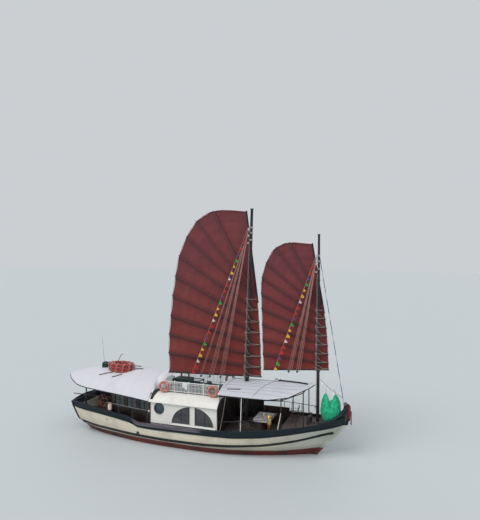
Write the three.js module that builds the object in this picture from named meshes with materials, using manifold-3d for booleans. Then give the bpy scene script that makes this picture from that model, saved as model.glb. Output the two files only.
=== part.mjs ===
// A wooden motor junk with two fan-shaped sails and a long open canopy forward, in millimetres.
// +X points to the bow, +Y to port and +Z up. The origin is on the centreline at the waterline, amidships.
import * as THREE from 'three';
import { mergeVertices } from 'three/addons/utils/BufferGeometryUtils.js';
import Module from 'manifold-3d';

const wasm = await Module();
wasm.setup();

// Driving sizes
const GAP = 0.3;                    // between neighbours that touch
const DECK_Z = 1100;                // level deck, aft and amidships
const DECK_THICK = 50;
const PLANK = 60;                   // bulwark and wall thickness
const TRANSOM_FOOT_X = -8270;       // where the raked transom plane meets the waterline
const TRANSOM_RAKE = 0.443;         // metres aft for each metre up
const STEM_FOOT_X = 6620;           // where the stem meets the waterline
const KEEL_HALF = 80;
const KEEL_Z = -1100;

const CABIN = { aft: -2950, front: 1480, side: 2000, eave: 2740, top: 3140, sunHalf: 1420 };
const HOUSE = { aft: -6000, front: -3060, side: 1500 };
const WINDOW = { x: -125, base: 1490, half: 1365, rise: 1100, mullion: 280 };
const PORTHOLE = { x: -2330, z: 2280, radius: 300 };
const DOOR = { half: 400, height: 1850, thick: 40, swing: 6, sill: 80, head: 30 };   // sill above the deck

const MAIN_MAST = { name: 'main', x: 2512, top: 14400, topX: 2940, foot: 140, head: 80 };
const FORE_MAST = { name: 'fore', x: 6950, top: 12800, topX: 7040, foot: 105, head: 65 };
const MAST_PAD = { half: 230, proud: 15, sunk: 30 };
const SAIL_Y = 262;                 // the main sail hangs this far to port of the centreline
const FORE_SAIL_Y = 222;
const CLOTH_THICK = 6;

const MAST_SIDES = 24;
const LIFEBUOY = { ring: 275, tube: 72, z: 3480 };
const PROPELLER = { x: -7260, z: -620, radius: 350, hub: 65, shaft: 30 };
const RUDDER = { x: -7800, stock: 38, pintle: 20, top: -230, foot: -1000, aft: -8330, front: -7700, half: 26,
  slope: 60 };
const TILLER = { aft: 30, reach: 420, half: 25, low: 1210, high: 1250, stockTop: 1270 };

// Finishes
const finishes = {
  cream: [0xb0aca2, 0.55, 0.0],
  bottomRed: [0x6e3a36, 0.75, 0.0],
  navy: [0x1a3440, 0.5, 0.0],
  deckGrey: [0x8a8488, 0.8, 0.0],
  roofWhite: [0xd2d2d6, 0.45, 0.0],
  whitePaint: [0xdcdcd8, 0.5, 0.0],
  darkWood: [0x2a2622, 0.55, 0.0],
  mastPaint: [0x1e2024, 0.6, 0.0],
  sailMaroon: [0x64292d, 0.9, 0.0],
  battenBrown: [0x4a2022, 0.8, 0.0],
  glass: [0x2c4048, 0.1, 0.0],
  orange: [0xd0603c, 0.7, 0.0],
  floatRed: [0xaa3238, 0.75, 0.0],
  green: [0x109a7e, 0.9, 0.0],
  darkGreen: [0x1f3a34, 0.6, 0.0],
  bronze: [0x8a6a3a, 0.4, 0.9],
  iron: [0x3a3c40, 0.6, 0.7],
  engineGrey: [0x6c7276, 0.6, 0.3],
  rope: [0xb8b4a8, 0.9, 0.0],
};
const materials = {};
for (const [name, [color, roughness, metalness]] of Object.entries(finishes)) {
  materials[name] = new THREE.MeshStandardMaterial({ name, color, roughness, metalness });
}

const group = new THREE.Group();

// Shape helpers
function place(name, finish, geometry) {
  const mesh = new THREE.Mesh(geometry, materials[finish]);
  mesh.name = name;
  group.add(mesh);
}

function solid(geometry) {
  const bare = geometry.clone();
  for (const attribute of ['normal', 'uv']) {
    bare.deleteAttribute(attribute);
  }
  const merged = mergeVertices(bare, 1e-3);
  return new wasm.Manifold(new wasm.Mesh({
    numProp: 3,
    vertProperties: new Float32Array(merged.attributes.position.array),
    triVerts: new Uint32Array(merged.index.array),
  }));
}

function geometryOf(manifold) {
  const mesh = manifold.getMesh();
  const geometry = new THREE.BufferGeometry();
  const positions = new Float32Array(mesh.numVert * 3);
  for (let vertex = 0; vertex < mesh.numVert; vertex += 1) {
    for (let axis = 0; axis < 3; axis += 1) {
      positions[vertex * 3 + axis] = mesh.vertProperties[vertex * mesh.numProp + axis];
    }
  }
  geometry.setAttribute('position', new THREE.BufferAttribute(positions, 3));
  geometry.setIndex(new THREE.BufferAttribute(new Uint32Array(mesh.triVerts), 1));
  geometry.computeVertexNormals();
  return geometry;
}

function join(geometries) {
  return geometries.map(solid).reduce((whole, next) => whole.add(next));
}

function cut(manifold, geometries) {
  return geometries.map(solid).reduce((whole, tool) => whole.subtract(tool), manifold);
}

// The largest of a solid's separate bodies.
function largest(manifold) {
  return manifold.decompose().reduce((best, next) => (next.volume() > best.volume() ? next : best));
}

function box(x0, x1, y0, y1, z0, z1) {
  const geometry = new THREE.BoxGeometry(x1 - x0, y1 - y0, z1 - z0);
  geometry.translate((x0 + x1) / 2, (y0 + y1) / 2, (z0 + z1) / 2);
  return geometry;
}

// The turn that takes an upright direction to another one.
const UPRIGHT = new THREE.Vector3(0, 1, 0);
const turnTo = (other) => new THREE.Quaternion().setFromUnitVectors(UPRIGHT, other.clone().normalize());

// A straight round bar between two points, tapered when the second radius is given.
function rod(from, to, radius, sides = 12, farRadius = radius) {
  const start = new THREE.Vector3(...from);
  const end = new THREE.Vector3(...to);
  const along = end.clone().sub(start);
  const geometry = new THREE.CylinderGeometry(farRadius, radius, along.length(), sides);
  geometry.applyQuaternion(turnTo(along));
  const middle = start.add(end).multiplyScalar(0.5);
  geometry.translate(middle.x, middle.y, middle.z);
  return geometry;
}

// The rudder stock and the propeller shaft pass through bores a little wider than they are.
const TURNING_SIDES = 16;
const BORE_CLEARANCE = 0.4;
function turningRod(from, to, radius) {
  return rod(from, to, radius, TURNING_SIDES);
}
function bore(from, to, radius) {
  return rod(from, to, (radius + BORE_CLEARANCE) / Math.cos(Math.PI / TURNING_SIDES), TURNING_SIDES);
}

// A prism: an outline in two row directions, extruded along the third.
function prism(outline, plane, low, high, holes = []) {
  const shape = new THREE.Shape(outline.map(([a, b]) => new THREE.Vector2(a, b)));
  for (const hole of holes) {
    shape.holes.push(new THREE.Path(hole.map(([a, b]) => new THREE.Vector2(a, b))));
  }
  const settings = { depth: high - low, bevelEnabled: false, curveSegments: 1 };
  const geometry = new THREE.ExtrudeGeometry(shape, settings);
  const positions = geometry.attributes.position;
  for (let index = 0; index < positions.count; index += 1) {
    const a = positions.getX(index);
    const b = positions.getY(index);
    const depth = low + positions.getZ(index);
    if (plane === 'xz') {
      positions.setXYZ(index, a, depth, b);
    } else if (plane === 'yz') {
      positions.setXYZ(index, depth, a, b);
    } else {
      positions.setXYZ(index, a, b, depth);
    }
  }
  return outward(geometry);
}

function outward(geometry) {
  const plain = geometry.index ? geometry.toNonIndexed() : geometry;
  const positions = plain.attributes.position;
  const a = new THREE.Vector3();
  const b = new THREE.Vector3();
  const c = new THREE.Vector3();
  let volume = 0;
  for (let index = 0; index < positions.count; index += 3) {
    a.fromBufferAttribute(positions, index);
    b.fromBufferAttribute(positions, index + 1);
    c.fromBufferAttribute(positions, index + 2);
    volume += a.dot(b.cross(c));
  }
  if (volume < 0) {
    for (let index = 0; index < positions.count; index += 3) {
      a.fromBufferAttribute(positions, index + 1);
      b.fromBufferAttribute(positions, index + 2);
      positions.setXYZ(index + 1, b.x, b.y, b.z);
      positions.setXYZ(index + 2, a.x, a.y, a.z);
    }
  }
  for (const attribute of ['normal', 'uv']) {
    plain.deleteAttribute(attribute);
  }
  const merged = mergeVertices(plain, 1e-3);
  merged.computeVertexNormals();
  return merged;
}

// A closed loft through rings of equal length, [x, y, z] each. An end is closed between the ring's first half
// and its second, which runs back beside it.
function loft(rings) {
  const size = rings[0].length;
  const triangles = [];
  for (let ring = 0; ring + 1 < rings.length; ring += 1) {
    for (let index = 0; index < size; index += 1) {
      const next = (index + 1) % size;
      const corners = [rings[ring][index], rings[ring][next], rings[ring + 1][next], rings[ring + 1][index]];
      triangles.push(corners[0], corners[1], corners[2], corners[0], corners[2], corners[3]);
    }
  }
  for (const [ring, first] of [[rings[0], true], [rings[rings.length - 1], false]]) {
    for (let index = 0; 2 * index + 2 < size; index += 1) {
      const [a, b, c, d] = [ring[index], ring[index + 1], ring[size - 2 - index], ring[size - 1 - index]];
      if (b !== c) {
        triangles.push(...(first ? [a, c, b] : [a, b, c]));
      }
      triangles.push(...(first ? [a, d, c] : [a, c, d]));
    }
  }
  const geometry = new THREE.BufferGeometry();
  geometry.setAttribute('position', new THREE.BufferAttribute(new Float32Array(triangles.flat()), 3));
  return outward(geometry);
}

// A smooth curve through a short table: rows of [place, value], never past the values it joins.
function smooth(table) {
  const slopes = table.map((row, index) => {
    if (index === 0 || index === table.length - 1) {
      return 0;
    }
    const before = (row[1] - table[index - 1][1]) / (row[0] - table[index - 1][0]);
    const after = (table[index + 1][1] - row[1]) / (table[index + 1][0] - row[0]);
    return before * after <= 0 ? 0 : (2 * before * after) / (before + after);
  });
  const first = table[0];
  const last = table[table.length - 1];
  slopes[0] = (table[1][1] - first[1]) / (table[1][0] - first[0]);
  const beforeLast = table[table.length - 2];
  slopes[slopes.length - 1] = (last[1] - beforeLast[1]) / (last[0] - beforeLast[0]);
  return (along) => {
    const at = Math.min(Math.max(along, first[0]), last[0]);
    let index = 0;
    while (index < table.length - 2 && at > table[index + 1][0]) {
      index += 1;
    }
    const span = table[index + 1][0] - table[index][0];
    const t = (at - table[index][0]) / span;
    return (1 + 2 * t) * (1 - t) ** 2 * table[index][1] + t * (1 - t) ** 2 * span * slopes[index]
      + t * t * (3 - 2 * t) * table[index + 1][1] + t * t * (t - 1) * span * slopes[index + 1];
  };
}

// The hull's longitudinal lines. Columns: half breadth [x, y] and height [x, z], metres.
const metres = (table) => smooth(table.map(([a, b]) => [a * 1000, b * 1000]));
const lines = {
  keel: { y: metres([[-8.25, 0.07], [5.7, 0.06]]),
    z: metres([[-8.25, -0.05], [-7.25, -0.17], [-6, -0.42], [-4, -0.66], [-1, -0.79], [3, -0.74],
      [4.7, -0.58], [5.7, -0.33]]) },
  bilge: { y: metres([[-8.26, 0.36], [-7, 0.78], [-5.5, 1.16], [-4, 1.44], [-1, 1.64], [1.6, 1.48], [3, 1.18],
    [4.4, 0.76], [5.5, 0.3], [6.2, 0.06]]),
  z: metres([[-8.26, -0.03], [-7, -0.12], [-5.5, -0.27], [-4, -0.39], [-1, -0.48], [3, -0.42], [4.6, -0.33],
    [6.2, -0.18]]) },
  water: { y: metres([[-8.27, 0.62], [-7, 1.15], [-5.5, 1.5], [-4, 1.78], [-2, 1.92], [0, 1.92], [1.6, 1.8],
    [3, 1.5], [4.4, 1.05], [5.5, 0.6], [6.2, 0.25], [6.62, 0.06]]),
  z: metres([[-8.27, 0], [6.62, 0]]) },
  boot: { y: metres([[-8.42, 0.88], [-7, 1.38], [-5.5, 1.67], [-4, 1.9], [-2, 2.02], [0, 2.04], [1.6, 1.95],
    [3, 1.7], [4.4, 1.3], [5.5, 0.88], [6.4, 0.42], [7.05, 0.06]]),
  z: metres([[-8.42, 0.34], [0, 0.31], [4, 0.36], [7.05, 0.44]]) },
  strake: { y: metres([[-8.64, 1.3], [-7, 1.64], [-5.5, 1.85], [-4, 2.02], [-2, 2.12], [0, 2.15], [2, 2.08],
    [4, 1.74], [5.5, 1.28], [6.5, 0.84], [7.3, 0.46], [8.2, 0.06]]),
  z: metres([[-8.6, 0.83], [-6.7, 0.69], [-4.3, 0.59], [-1.5, 0.47], [1, 0.52], [2.9, 0.68], [4.6, 0.88],
    [6.2, 1.12], [7.2, 1.4], [8.2, 1.62]]) },
  cream: { y: metres([[-9, 1.43], [-8, 1.64], [-6, 1.93], [-4, 2.1], [-2, 2.18], [0, 2.22], [2, 2.18],
    [4, 1.93], [5.5, 1.58], [6.5, 1.18], [7.5, 0.72], [8.1, 0.36], [8.47, 0.06]]),
  z: metres([[-8.9, 1.6], [-6.7, 1.43], [-4.52, 1.27], [-4.3, 1.22], [-3.9, 0.99], [-3.68, 0.96],
    [-1.5, 1.02], [1.1, 1.06], [2.9, 1.21], [4.6, 1.38], [6.2, 1.56], [7.5, 1.73], [8.47, 1.88]]) },
  rail: { y: metres([[-9.1, 1.44], [-8, 1.66], [-6, 1.95], [-4, 2.12], [-2, 2.2], [0, 2.24], [2, 2.2],
    [4, 1.96], [5.5, 1.62], [6.5, 1.23], [7.5, 0.78], [8.2, 0.4], [8.62, 0.1]]),
  z: metres([[-9.1, 1.9], [-6.7, 1.73], [-4.52, 1.56], [-4.3, 1.51], [-3.9, 1.29], [-3.68, 1.26],
    [-1.5, 1.3], [1.1, 1.35], [2.9, 1.5], [4.6, 1.68], [6.2, 1.85], [7.5, 2.03], [8.2, 2.2], [8.62, 2.36]]) },
};
const transomX = (z) => TRANSOM_FOOT_X - TRANSOM_RAKE * z;
const stemX = {
  keel: 5700, bilge: 6200, water: STEM_FOOT_X, boot: 7050, strake: 8200, cream: 8470, rail: 8620,
};
const ASTERN_X = -9200;
const lineEnds = Object.fromEntries(Object.entries(lines).map(([name, line]) => [name,
  [transomX(line.z(ASTERN_X)), stemX[name]]]));

// Stations along the sheer, in metres; the close ones shape the step of the aft bulwark.
const stations = [-8.98, -8.4, -7.8, -7.1, -6.4, -5.7, -5, -4.55, -4.3, -4.1, -3.9, -3.65, -3, -2.1, -1.2,
  -0.3, 0.6, 1.48, 2.2, 3, 3.8, 4.6, 5.3, 6, 6.6, 7.1, 7.6, 8.05, 8.47];

function onLine(name, station) {
  const [stern, bow] = lineEnds[name];
  const share = (station - stations[0]) / (stations[stations.length - 1] - stations[0]);
  const x = stern + (bow - stern) * share;
  return [x, lines[name].y(x), lines[name].z(x)];
}

function between(first, second, share, bulge = 0) {
  const [x, y, z] = first.map((value, axis) => value + (second[axis] - value) * share);
  return [x, y + bulge * Math.sin(Math.PI * share), z];
}

// The deck is level as far as the step of the raised foredeck.
const FOREDECK = { aft: 4960, low: 1600, rise: 0.135 };
const foredeckTop = (x) => FOREDECK.low + FOREDECK.rise * (x - FOREDECK.aft);
const deckTop = (x) => (x < FOREDECK.aft ? DECK_Z : foredeckTop(x));

// The hull lines' points at one station, by name.
function sectionAt(station) {
  return Object.fromEntries(Object.keys(lines).map((name) => [name, onLine(name, station)]));
}

// How far the planks bow out between two lines, where the bilge is at least its full breadth.
const BULGE = { bilge: 60, water: 40, boot: 12, strake: 10 };
const FULL_BILGE = 900;
const bottomRings = stations.map((station) => {
  const { keel, bilge, water, boot } = sectionAt(station);
  const fullness = Math.min(1, bilge[1] / FULL_BILGE);
  const side = [keel, between(keel, bilge, 0.5, BULGE.bilge * fullness), bilge,
    between(bilge, water, 0.5, BULGE.water * fullness), water, boot];
  return [...side.map(([x, y, z]) => [x, -y, z]), ...side.slice().reverse()];
});

// The planked side from the boot line to the rail, as one solid that the hull, foredeck and bulwarks share.
const sideRings = stations.map((station) => {
  const { boot, strake, cream, rail } = sectionAt(station);
  const foot = [boot[0], boot[1], boot[2] + GAP];
  const side = [foot, between(foot, strake, 0.5, BULGE.boot), strake,
    between(strake, cream, 0.5, BULGE.strake), cream, rail];
  return [...side.map(([x, y, z]) => [x, -y, z]), ...side.slice().reverse()];
});
const sides = solid(loft(sideRings));
const within = (manifold, geometry) => manifold.intersect(solid(geometry));
const BEYOND = 12000;
const DECK_UNDER = DECK_Z - DECK_THICK;

// Half the hull's width inside the planks, at a place and a height. A narrow bow keeps a share of its width.
const PLANK_SHARE = 0.8;
function innerHalf(x, z) {
  const [low, high] = z < lines.cream.z(x) ? [lines.strake, lines.cream] : [lines.cream, lines.rail];
  const share = Math.min(1, (z - low.z(x)) / (high.z(x) - low.z(x)));
  const outer = low.y(x) + (high.y(x) - low.y(x)) * share;
  return outer - Math.min(PLANK, outer * PLANK_SHARE);
}

// The engine room is a well in the hull that the deck closes.
const WELL = { aft: -5650, front: -4050, half: 470, foot: -150, top: 3000 };
const ENGINE = { aft: -5500, front: -4200, half: 350, top: 700 };
const STOCK_BORE = { low: -900, high: 2000 };
const well = box(WELL.aft, WELL.front, -WELL.half, WELL.half, WELL.foot, WELL.top);
const rudderBore = bore([RUDDER.x, 0, STOCK_BORE.low], [RUDDER.x, 0, STOCK_BORE.high], RUDDER.stock);
place('hull_bottom', 'bottomRed', geometryOf(cut(solid(loft(bottomRings)), [well, rudderBore])));
const belowDeck = box(-BEYOND, BEYOND, -BEYOND, BEYOND, 0, DECK_UNDER - GAP);
place('hull_topsides', 'cream', geometryOf(cut(within(sides, belowDeck), [well, rudderBore])));
place('engine', 'engineGrey', box(ENGINE.aft, ENGINE.front, -ENGINE.half, ENGINE.half, WELL.foot + GAP,
  ENGINE.top));

// Deck: planked, inside the bulwarks, with a level pad under each mast. The foredeck fills the bow.
const DECK_AFT = -8656;
const DECK_ROOM = { side: 22, step: 14, station: 200 };
const padTop = (mast) => deckTop(mast.x + MAST_PAD.half) + MAST_PAD.proud;
const pad = (mast) => box(mast.x - MAST_PAD.half, mast.x + MAST_PAD.half, -MAST_PAD.half, MAST_PAD.half,
  deckTop(mast.x - MAST_PAD.half) - MAST_PAD.sunk, padTop(mast));
const deckPlaces = [DECK_AFT, ...stations.map((station) => station * 1000).filter(
  (x) => x > DECK_AFT + DECK_ROOM.station && x < FOREDECK.aft - DECK_ROOM.station,
), FOREDECK.aft - DECK_ROOM.step];
const levelDeck = loft(deckPlaces.map((x) => {
  const half = Math.min(innerHalf(x, DECK_UNDER), innerHalf(x, DECK_Z)) - DECK_ROOM.side;
  return [[x, -half, DECK_UNDER], [x, -half, DECK_Z], [x, half, DECK_Z], [x, half, DECK_UNDER]];
}));
place('deck', 'deckGrey', geometryOf(cut(join([levelDeck, pad(MAIN_MAST)]), [rudderBore])));
const underForedeck = (aft, proud) => prism([[aft, DECK_UNDER - proud], [BEYOND, DECK_UNDER - proud],
  [BEYOND, foredeckTop(BEYOND) + proud], [aft, foredeckTop(aft) + proud]], 'xz', -BEYOND, BEYOND);
const foredeck = within(sides, underForedeck(FOREDECK.aft, 0)).add(solid(pad(FORE_MAST)));
place('foredeck', 'cream', geometryOf(foredeck));

// Bulwarks: the planks above the deck, a half of the stern's with each, up to the rail.
const tubPlaces = stations.slice(0, -1).map((station) => station * 1000);
const TUB = { below: 10, above: 500 };
const tub = loft(tubPlaces.map((along, index) => {
  const railZ = lines.rail.z(along);
  const bend = Math.max(lines.cream.z(along), DECK_UNDER);
  const levels = [DECK_UNDER - TUB.below, bend, railZ, railZ + TUB.above];
  const half = levels.map((z) => [index === 0 ? transomX(z) + PLANK : along, innerHalf(along, z), z]);
  return [...half.map(([x, y, z]) => [x, -y, z]), ...half.slice().reverse()];
}));
const bulwarks = {};
for (const [name, side] of [['starboard', -1], ['port', 1]]) {
  const half = side < 0 ? box(-BEYOND, BEYOND, -BEYOND, -GAP / 2, DECK_UNDER, BEYOND)
    : box(-BEYOND, BEYOND, GAP / 2, BEYOND, DECK_UNDER, BEYOND);
  bulwarks[name] = cut(within(sides, half), [tub, underForedeck(FOREDECK.aft - GAP, GAP)]);
  place(`bulwark_${name}`, 'navy', geometryOf(bulwarks[name]));
}

// Transom: a raked board over the stern, from the tuck to a crowned top.
const TRANSOM = { thick: 60, edge: 1900, crown: 130, half: 1470, proud: 25 };
const CROWN_SHARES = [0.66, 0.33, 0, -0.33, -0.66];
const transomSide = ['boot', 'strake', 'cream', 'rail'].map((name) => onLine(name, stations[0]));
const transomOutline = [
  ...transomSide.map(([, y, z]) => [y + TRANSOM.proud, z]),
  ...CROWN_SHARES.map((share) => [share * TRANSOM.half, TRANSOM.edge + TRANSOM.crown * (1 - share * share)]),
  ...transomSide.map(([, y, z]) => [-y - TRANSOM.proud, z]).reverse(),
];
const TRANSOM_GAP = 0.5;
const transomRing = (shift) => transomOutline.map(([y, z]) => [transomX(z) - shift, y, z]);
place('transom_board', 'navy', loft([transomRing(TRANSOM.thick), transomRing(TRANSOM_GAP)]));

// Keel and stem: one backbone, with a heel that carries the rudder's foot.
const KEEL_END_X = -7000;
const HEEL = { aft: -7900, top: -1030 };
const KEEL_GAP = { post: 6.3, along: 1.3, stem: 0.6 };
const STEM_TOP = { aft: 8640, z: 2370 };
const SHAFT_BORE = { aft: -100, front: 320 };
const PINTLE_DEPTH = { bore: 45, pin: 30 };
const lastStation = stations[stations.length - 1];
const keelTop = stations.map((station) => onLine('keel', station)).filter(([x]) => x > KEEL_END_X);
const stemInner = ['bilge', 'water', 'boot', 'strake', 'cream'].map((name) => onLine(name, lastStation));
const STEM_OUTER = [[8800, STEM_TOP.z], [8690, 1900], [8400, 1560], [7280, 400], [6860, -60], [6420, -460],
  [5800, -830], [5000, -1040], [4300, KEEL_Z]];
const backbone = [[HEEL.aft, KEEL_Z], [HEEL.aft, HEEL.top], [KEEL_END_X - 20, HEEL.top],
  [KEEL_END_X, lines.keel.z(KEEL_END_X) - KEEL_GAP.post],
  ...keelTop.map(([x, , z]) => [x, z - KEEL_GAP.along]),
  ...stemInner.map(([x, , z]) => [x + KEEL_GAP.stem, z - GAP]), [STEM_TOP.aft, STEM_TOP.z], ...STEM_OUTER];
place('keel_and_stem', 'bottomRed', geometryOf(cut(solid(prism(backbone, 'xz', -KEEL_HALF, KEEL_HALF)), [
  bore([KEEL_END_X + SHAFT_BORE.aft, 0, PROPELLER.z], [KEEL_END_X + SHAFT_BORE.front, 0, PROPELLER.z],
    PROPELLER.shaft),
  bore([RUDDER.x, 0, HEEL.top - PINTLE_DEPTH.bore], [RUDDER.x, 0, 0], RUDDER.pintle),
])));

// Rudder: a plank blade on a round stock with a tiller arm above the deck.
const blade = prism([[RUDDER.aft, RUDDER.foot], [RUDDER.front, RUDDER.foot], [RUDDER.front, RUDDER.top],
  [RUDDER.aft + RUDDER.slope, RUDDER.top + RUDDER.slope]], 'xz', -RUDDER.half, RUDDER.half);
place('rudder', 'bottomRed', geometryOf(join([
  blade,
  turningRod([RUDDER.x, 0, RUDDER.foot], [RUDDER.x, 0, TILLER.stockTop], RUDDER.stock),
  turningRod([RUDDER.x, 0, RUDDER.foot + 40], [RUDDER.x, 0, HEEL.top - PINTLE_DEPTH.pin], RUDDER.pintle),
  box(RUDDER.x - TILLER.aft, RUDDER.x + TILLER.reach, -TILLER.half, TILLER.half, TILLER.low, TILLER.high),
])));

// Propeller: three twisted blades on a hub, with its shaft in the keel.
const HUB = { aft: 90, front: 70 };
const SHAFT_END = 290;
const BLADE = { thick: 14, half: 95, twist: 32, inset: 20 };
const propellerParts = [
  turningRod([PROPELLER.x - HUB.aft, 0, PROPELLER.z], [PROPELLER.x + HUB.front, 0, PROPELLER.z],
    PROPELLER.hub),
  turningRod([PROPELLER.x, 0, PROPELLER.z], [KEEL_END_X + SHAFT_END, 0, PROPELLER.z], PROPELLER.shaft),
];
for (const turn of [0, 120, 240]) {
  const oneBlade = new THREE.SphereGeometry(1, 8, 6);
  oneBlade.scale(BLADE.thick, BLADE.half, PROPELLER.radius / 2 - BLADE.inset);
  oneBlade.rotateZ(THREE.MathUtils.degToRad(BLADE.twist));
  oneBlade.translate(0, 0, PROPELLER.radius / 2 + BLADE.inset);
  oneBlade.rotateX(THREE.MathUtils.degToRad(turn));
  oneBlade.translate(PROPELLER.x, 0, PROPELLER.z);
  propellerParts.push(oneBlade);
}
place('propeller', 'bronze', geometryOf(join(propellerParts)));

// Bow head: an upturned post on the stem with the anchor's roller, and the anchor on it.
const HEAD_HALF = 95;
const HEAD_OUTLINE = [[8330, 2385], [8420, 2700], [8470, 2960], [8540, 3030], [8640, 3000], [8720, 2760],
  [8760, 2520], [8780, 2385]];
const ROLLER = { x: 8790, z: 2470, half: 150, radius: 62 };
const ANCHOR = { shank: 26, foot: 1930, top: 2700, stock: 16, stockZ: 2560, stockHalf: 260, arm: 24,
  armFoot: 1960, armTop: 2120, armHalf: 210, armBack: 20 };
const bowHead = join([
  prism(HEAD_OUTLINE, 'xz', -HEAD_HALF, HEAD_HALF),
  rod([ROLLER.x, -ROLLER.half, ROLLER.z], [ROLLER.x, ROLLER.half, ROLLER.z], ROLLER.radius, 16),
]);
place('bow_head', 'navy', geometryOf(bowHead));
const anchorX = ROLLER.x + ROLLER.radius + ANCHOR.shank + GAP;
place('anchor', 'iron', geometryOf(join([
  rod([anchorX, 0, ANCHOR.foot], [anchorX, 0, ANCHOR.top], ANCHOR.shank),
  rod([anchorX, -ANCHOR.stockHalf, ANCHOR.stockZ], [anchorX, ANCHOR.stockHalf, ANCHOR.stockZ], ANCHOR.stock),
  ...[1, -1].map((side) => rod([anchorX, 0, ANCHOR.armFoot],
    [anchorX - ANCHOR.armBack, side * ANCHOR.armHalf, ANCHOR.armTop], ANCHOR.arm)),
])));

// Masts stand on their pads and rake a little forward.
const mastFoot = (mast) => padTop(mast) + GAP;
const mastX = (mast, z) => mast.x + (mast.topX - mast.x) * ((z - DECK_Z) / (mast.top - DECK_Z));
const mastRadius = (mast, z) => mast.foot + (mast.head - mast.foot) * ((z - DECK_Z) / (mast.top - DECK_Z));
const mastRod = (mast, extra) => rod([mastX(mast, DECK_Z), 0, DECK_Z], [mast.topX, 0, mast.top],
  mast.foot + extra, MAST_SIDES, mast.head + extra);
const AROUND_MAST = 500;
for (const mast of [MAIN_MAST, FORE_MAST]) {
  const below = box(mast.x - AROUND_MAST, mast.x + AROUND_MAST, -AROUND_MAST, AROUND_MAST, 0, mastFoot(mast));
  place(`${mast.name}_mast`, 'mastPaint', geometryOf(cut(solid(mastRod(mast, 0)), [below])));
}

// Cabin: walls of plank thickness between the deck and a roof with rounded shoulders.
const cabinOuter = [[2140, 2660], [2080, 2800], [1900, 2960], [1650, 3080], [CABIN.sunHalf, CABIN.top]];
const cabinInner = [[2060, 2640], [CABIN.side, CABIN.eave], [1850, 2880], [1630, 2990], [1400, 3070]];
const bothSides = (points) => [...points, ...points.map(([y, z]) => [-y, z]).reverse()];
const EAVE = { aft: 40, front: 20 };
const HATCH = { aft: -2550, front: -1500, low: 470, high: 1190, inset: 60, board: 50, lip: 10, top: 3440,
  lid: 3485, slide: 750, railFoot: 3400 };
const hatchHole = box(HATCH.aft + HATCH.inset, HATCH.front - HATCH.inset, HATCH.low + HATCH.inset,
  HATCH.high - HATCH.inset, CABIN.top - 140, CABIN.top + 160);
const cabinRoof = cut(solid(prism([...bothSides(cabinOuter), ...bothSides(cabinInner).reverse()], 'yz',
  CABIN.aft - EAVE.aft, CABIN.front + EAVE.front)), [hatchHole]);
place('cabin_roof', 'roofWhite', geometryOf(cabinRoof));

const ARC_STEPS = 10;
const windowHole = (side) => {
  const inner = WINDOW.mullion / 2;
  const first = inner / WINDOW.half;
  const points = [[WINDOW.x + side * inner, WINDOW.base]];
  for (let step = 0; step <= ARC_STEPS; step += 1) {
    const share = first + (1 - first) * Math.sin((step / ARC_STEPS) * Math.PI / 2);
    const height = WINDOW.rise * Math.sqrt(1 - share * share);
    points.push([WINDOW.x + side * WINDOW.half * share, WINDOW.base + height]);
  }
  return points;
};
const circle = (x, z, radius, count = 20) => Array.from({ length: count }, (_, index) => {
  const turn = (index / count) * Math.PI * 2;
  return [x + radius * Math.cos(turn), z + radius * Math.sin(turn)];
});
const THROUGH_WALL = 200;
const holePrism = (points, y) => prism(points, 'xz', y - THROUGH_WALL, y + THROUGH_WALL);
const PANE = { lap: 30, thick: 8 };
for (const [name, side] of [['starboard', -1], ['port', 1]]) {
  const low = side < 0 ? -CABIN.side : CABIN.side - PLANK;
  const wall = solid(box(CABIN.aft, CABIN.front, low, low + PLANK, DECK_Z + GAP, CABIN.eave - GAP));
  place(`cabin_wall_${name}`, 'whitePaint', geometryOf(cut(wall, [
    holePrism(windowHole(-1), side * CABIN.side),
    holePrism(windowHole(1), side * CABIN.side),
    holePrism(circle(PORTHOLE.x, PORTHOLE.z, PORTHOLE.radius), side * CABIN.side),
  ])));
  const paneY = side * (CABIN.side - PLANK - GAP);
  const [paneHalf, paneRise] = [WINDOW.half + PANE.lap, WINDOW.rise + PANE.lap];
  const pane = [-1, 1].map((end) => [WINDOW.x + end * paneHalf, WINDOW.base - PANE.lap]);
  for (let step = 0; step <= 2 * ARC_STEPS; step += 1) {
    const turn = (step / (2 * ARC_STEPS)) * Math.PI;
    pane.push([WINDOW.x + paneHalf * Math.cos(turn), WINDOW.base + paneRise * Math.sin(turn)]);
  }
  const paneFaces = [paneY, paneY - side * PANE.thick];
  place(`arched_window_${name}`, 'glass', prism(pane, 'xz', Math.min(...paneFaces), Math.max(...paneFaces)));
}
const acrossHalf = CABIN.side - PLANK - GAP;
const shoulder = [[acrossHalf, 2795 - GAP], ...cabinInner.slice(2).map(([y, z]) => [y, z - GAP])];
const acrossOutline = bothSides([[acrossHalf, DECK_Z + GAP], ...shoulder]);
const leafwayHalf = DOOR.half + DOOR.swing;
const leafway = (x) => box(x - THROUGH_WALL, x + THROUGH_WALL, -leafwayHalf, leafwayHalf, DECK_Z + DOOR.sill,
  DECK_Z + DOOR.height + DOOR.head);
// The open doorway between the wheelhouse and the cabin, beside the helm's platform.
const DOORWAY = { low: -1380, high: -760, top: DECK_Z + 1850 };
const throughway = (x) => box(x - THROUGH_WALL, x + THROUGH_WALL, DOORWAY.low, DOORWAY.high, DECK_Z - 50,
  DOORWAY.top);
const frontWall = solid(prism(acrossOutline, 'yz', CABIN.front - PLANK, CABIN.front));
const aftWall = solid(prism(acrossOutline, 'yz', CABIN.aft, CABIN.aft + PLANK));
place('cabin_wall_front', 'darkWood', geometryOf(cut(frontWall, [leafway(CABIN.front)])));
place('cabin_wall_aft', 'darkWood', geometryOf(cut(aftWall, [throughway(CABIN.aft)])));

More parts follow.
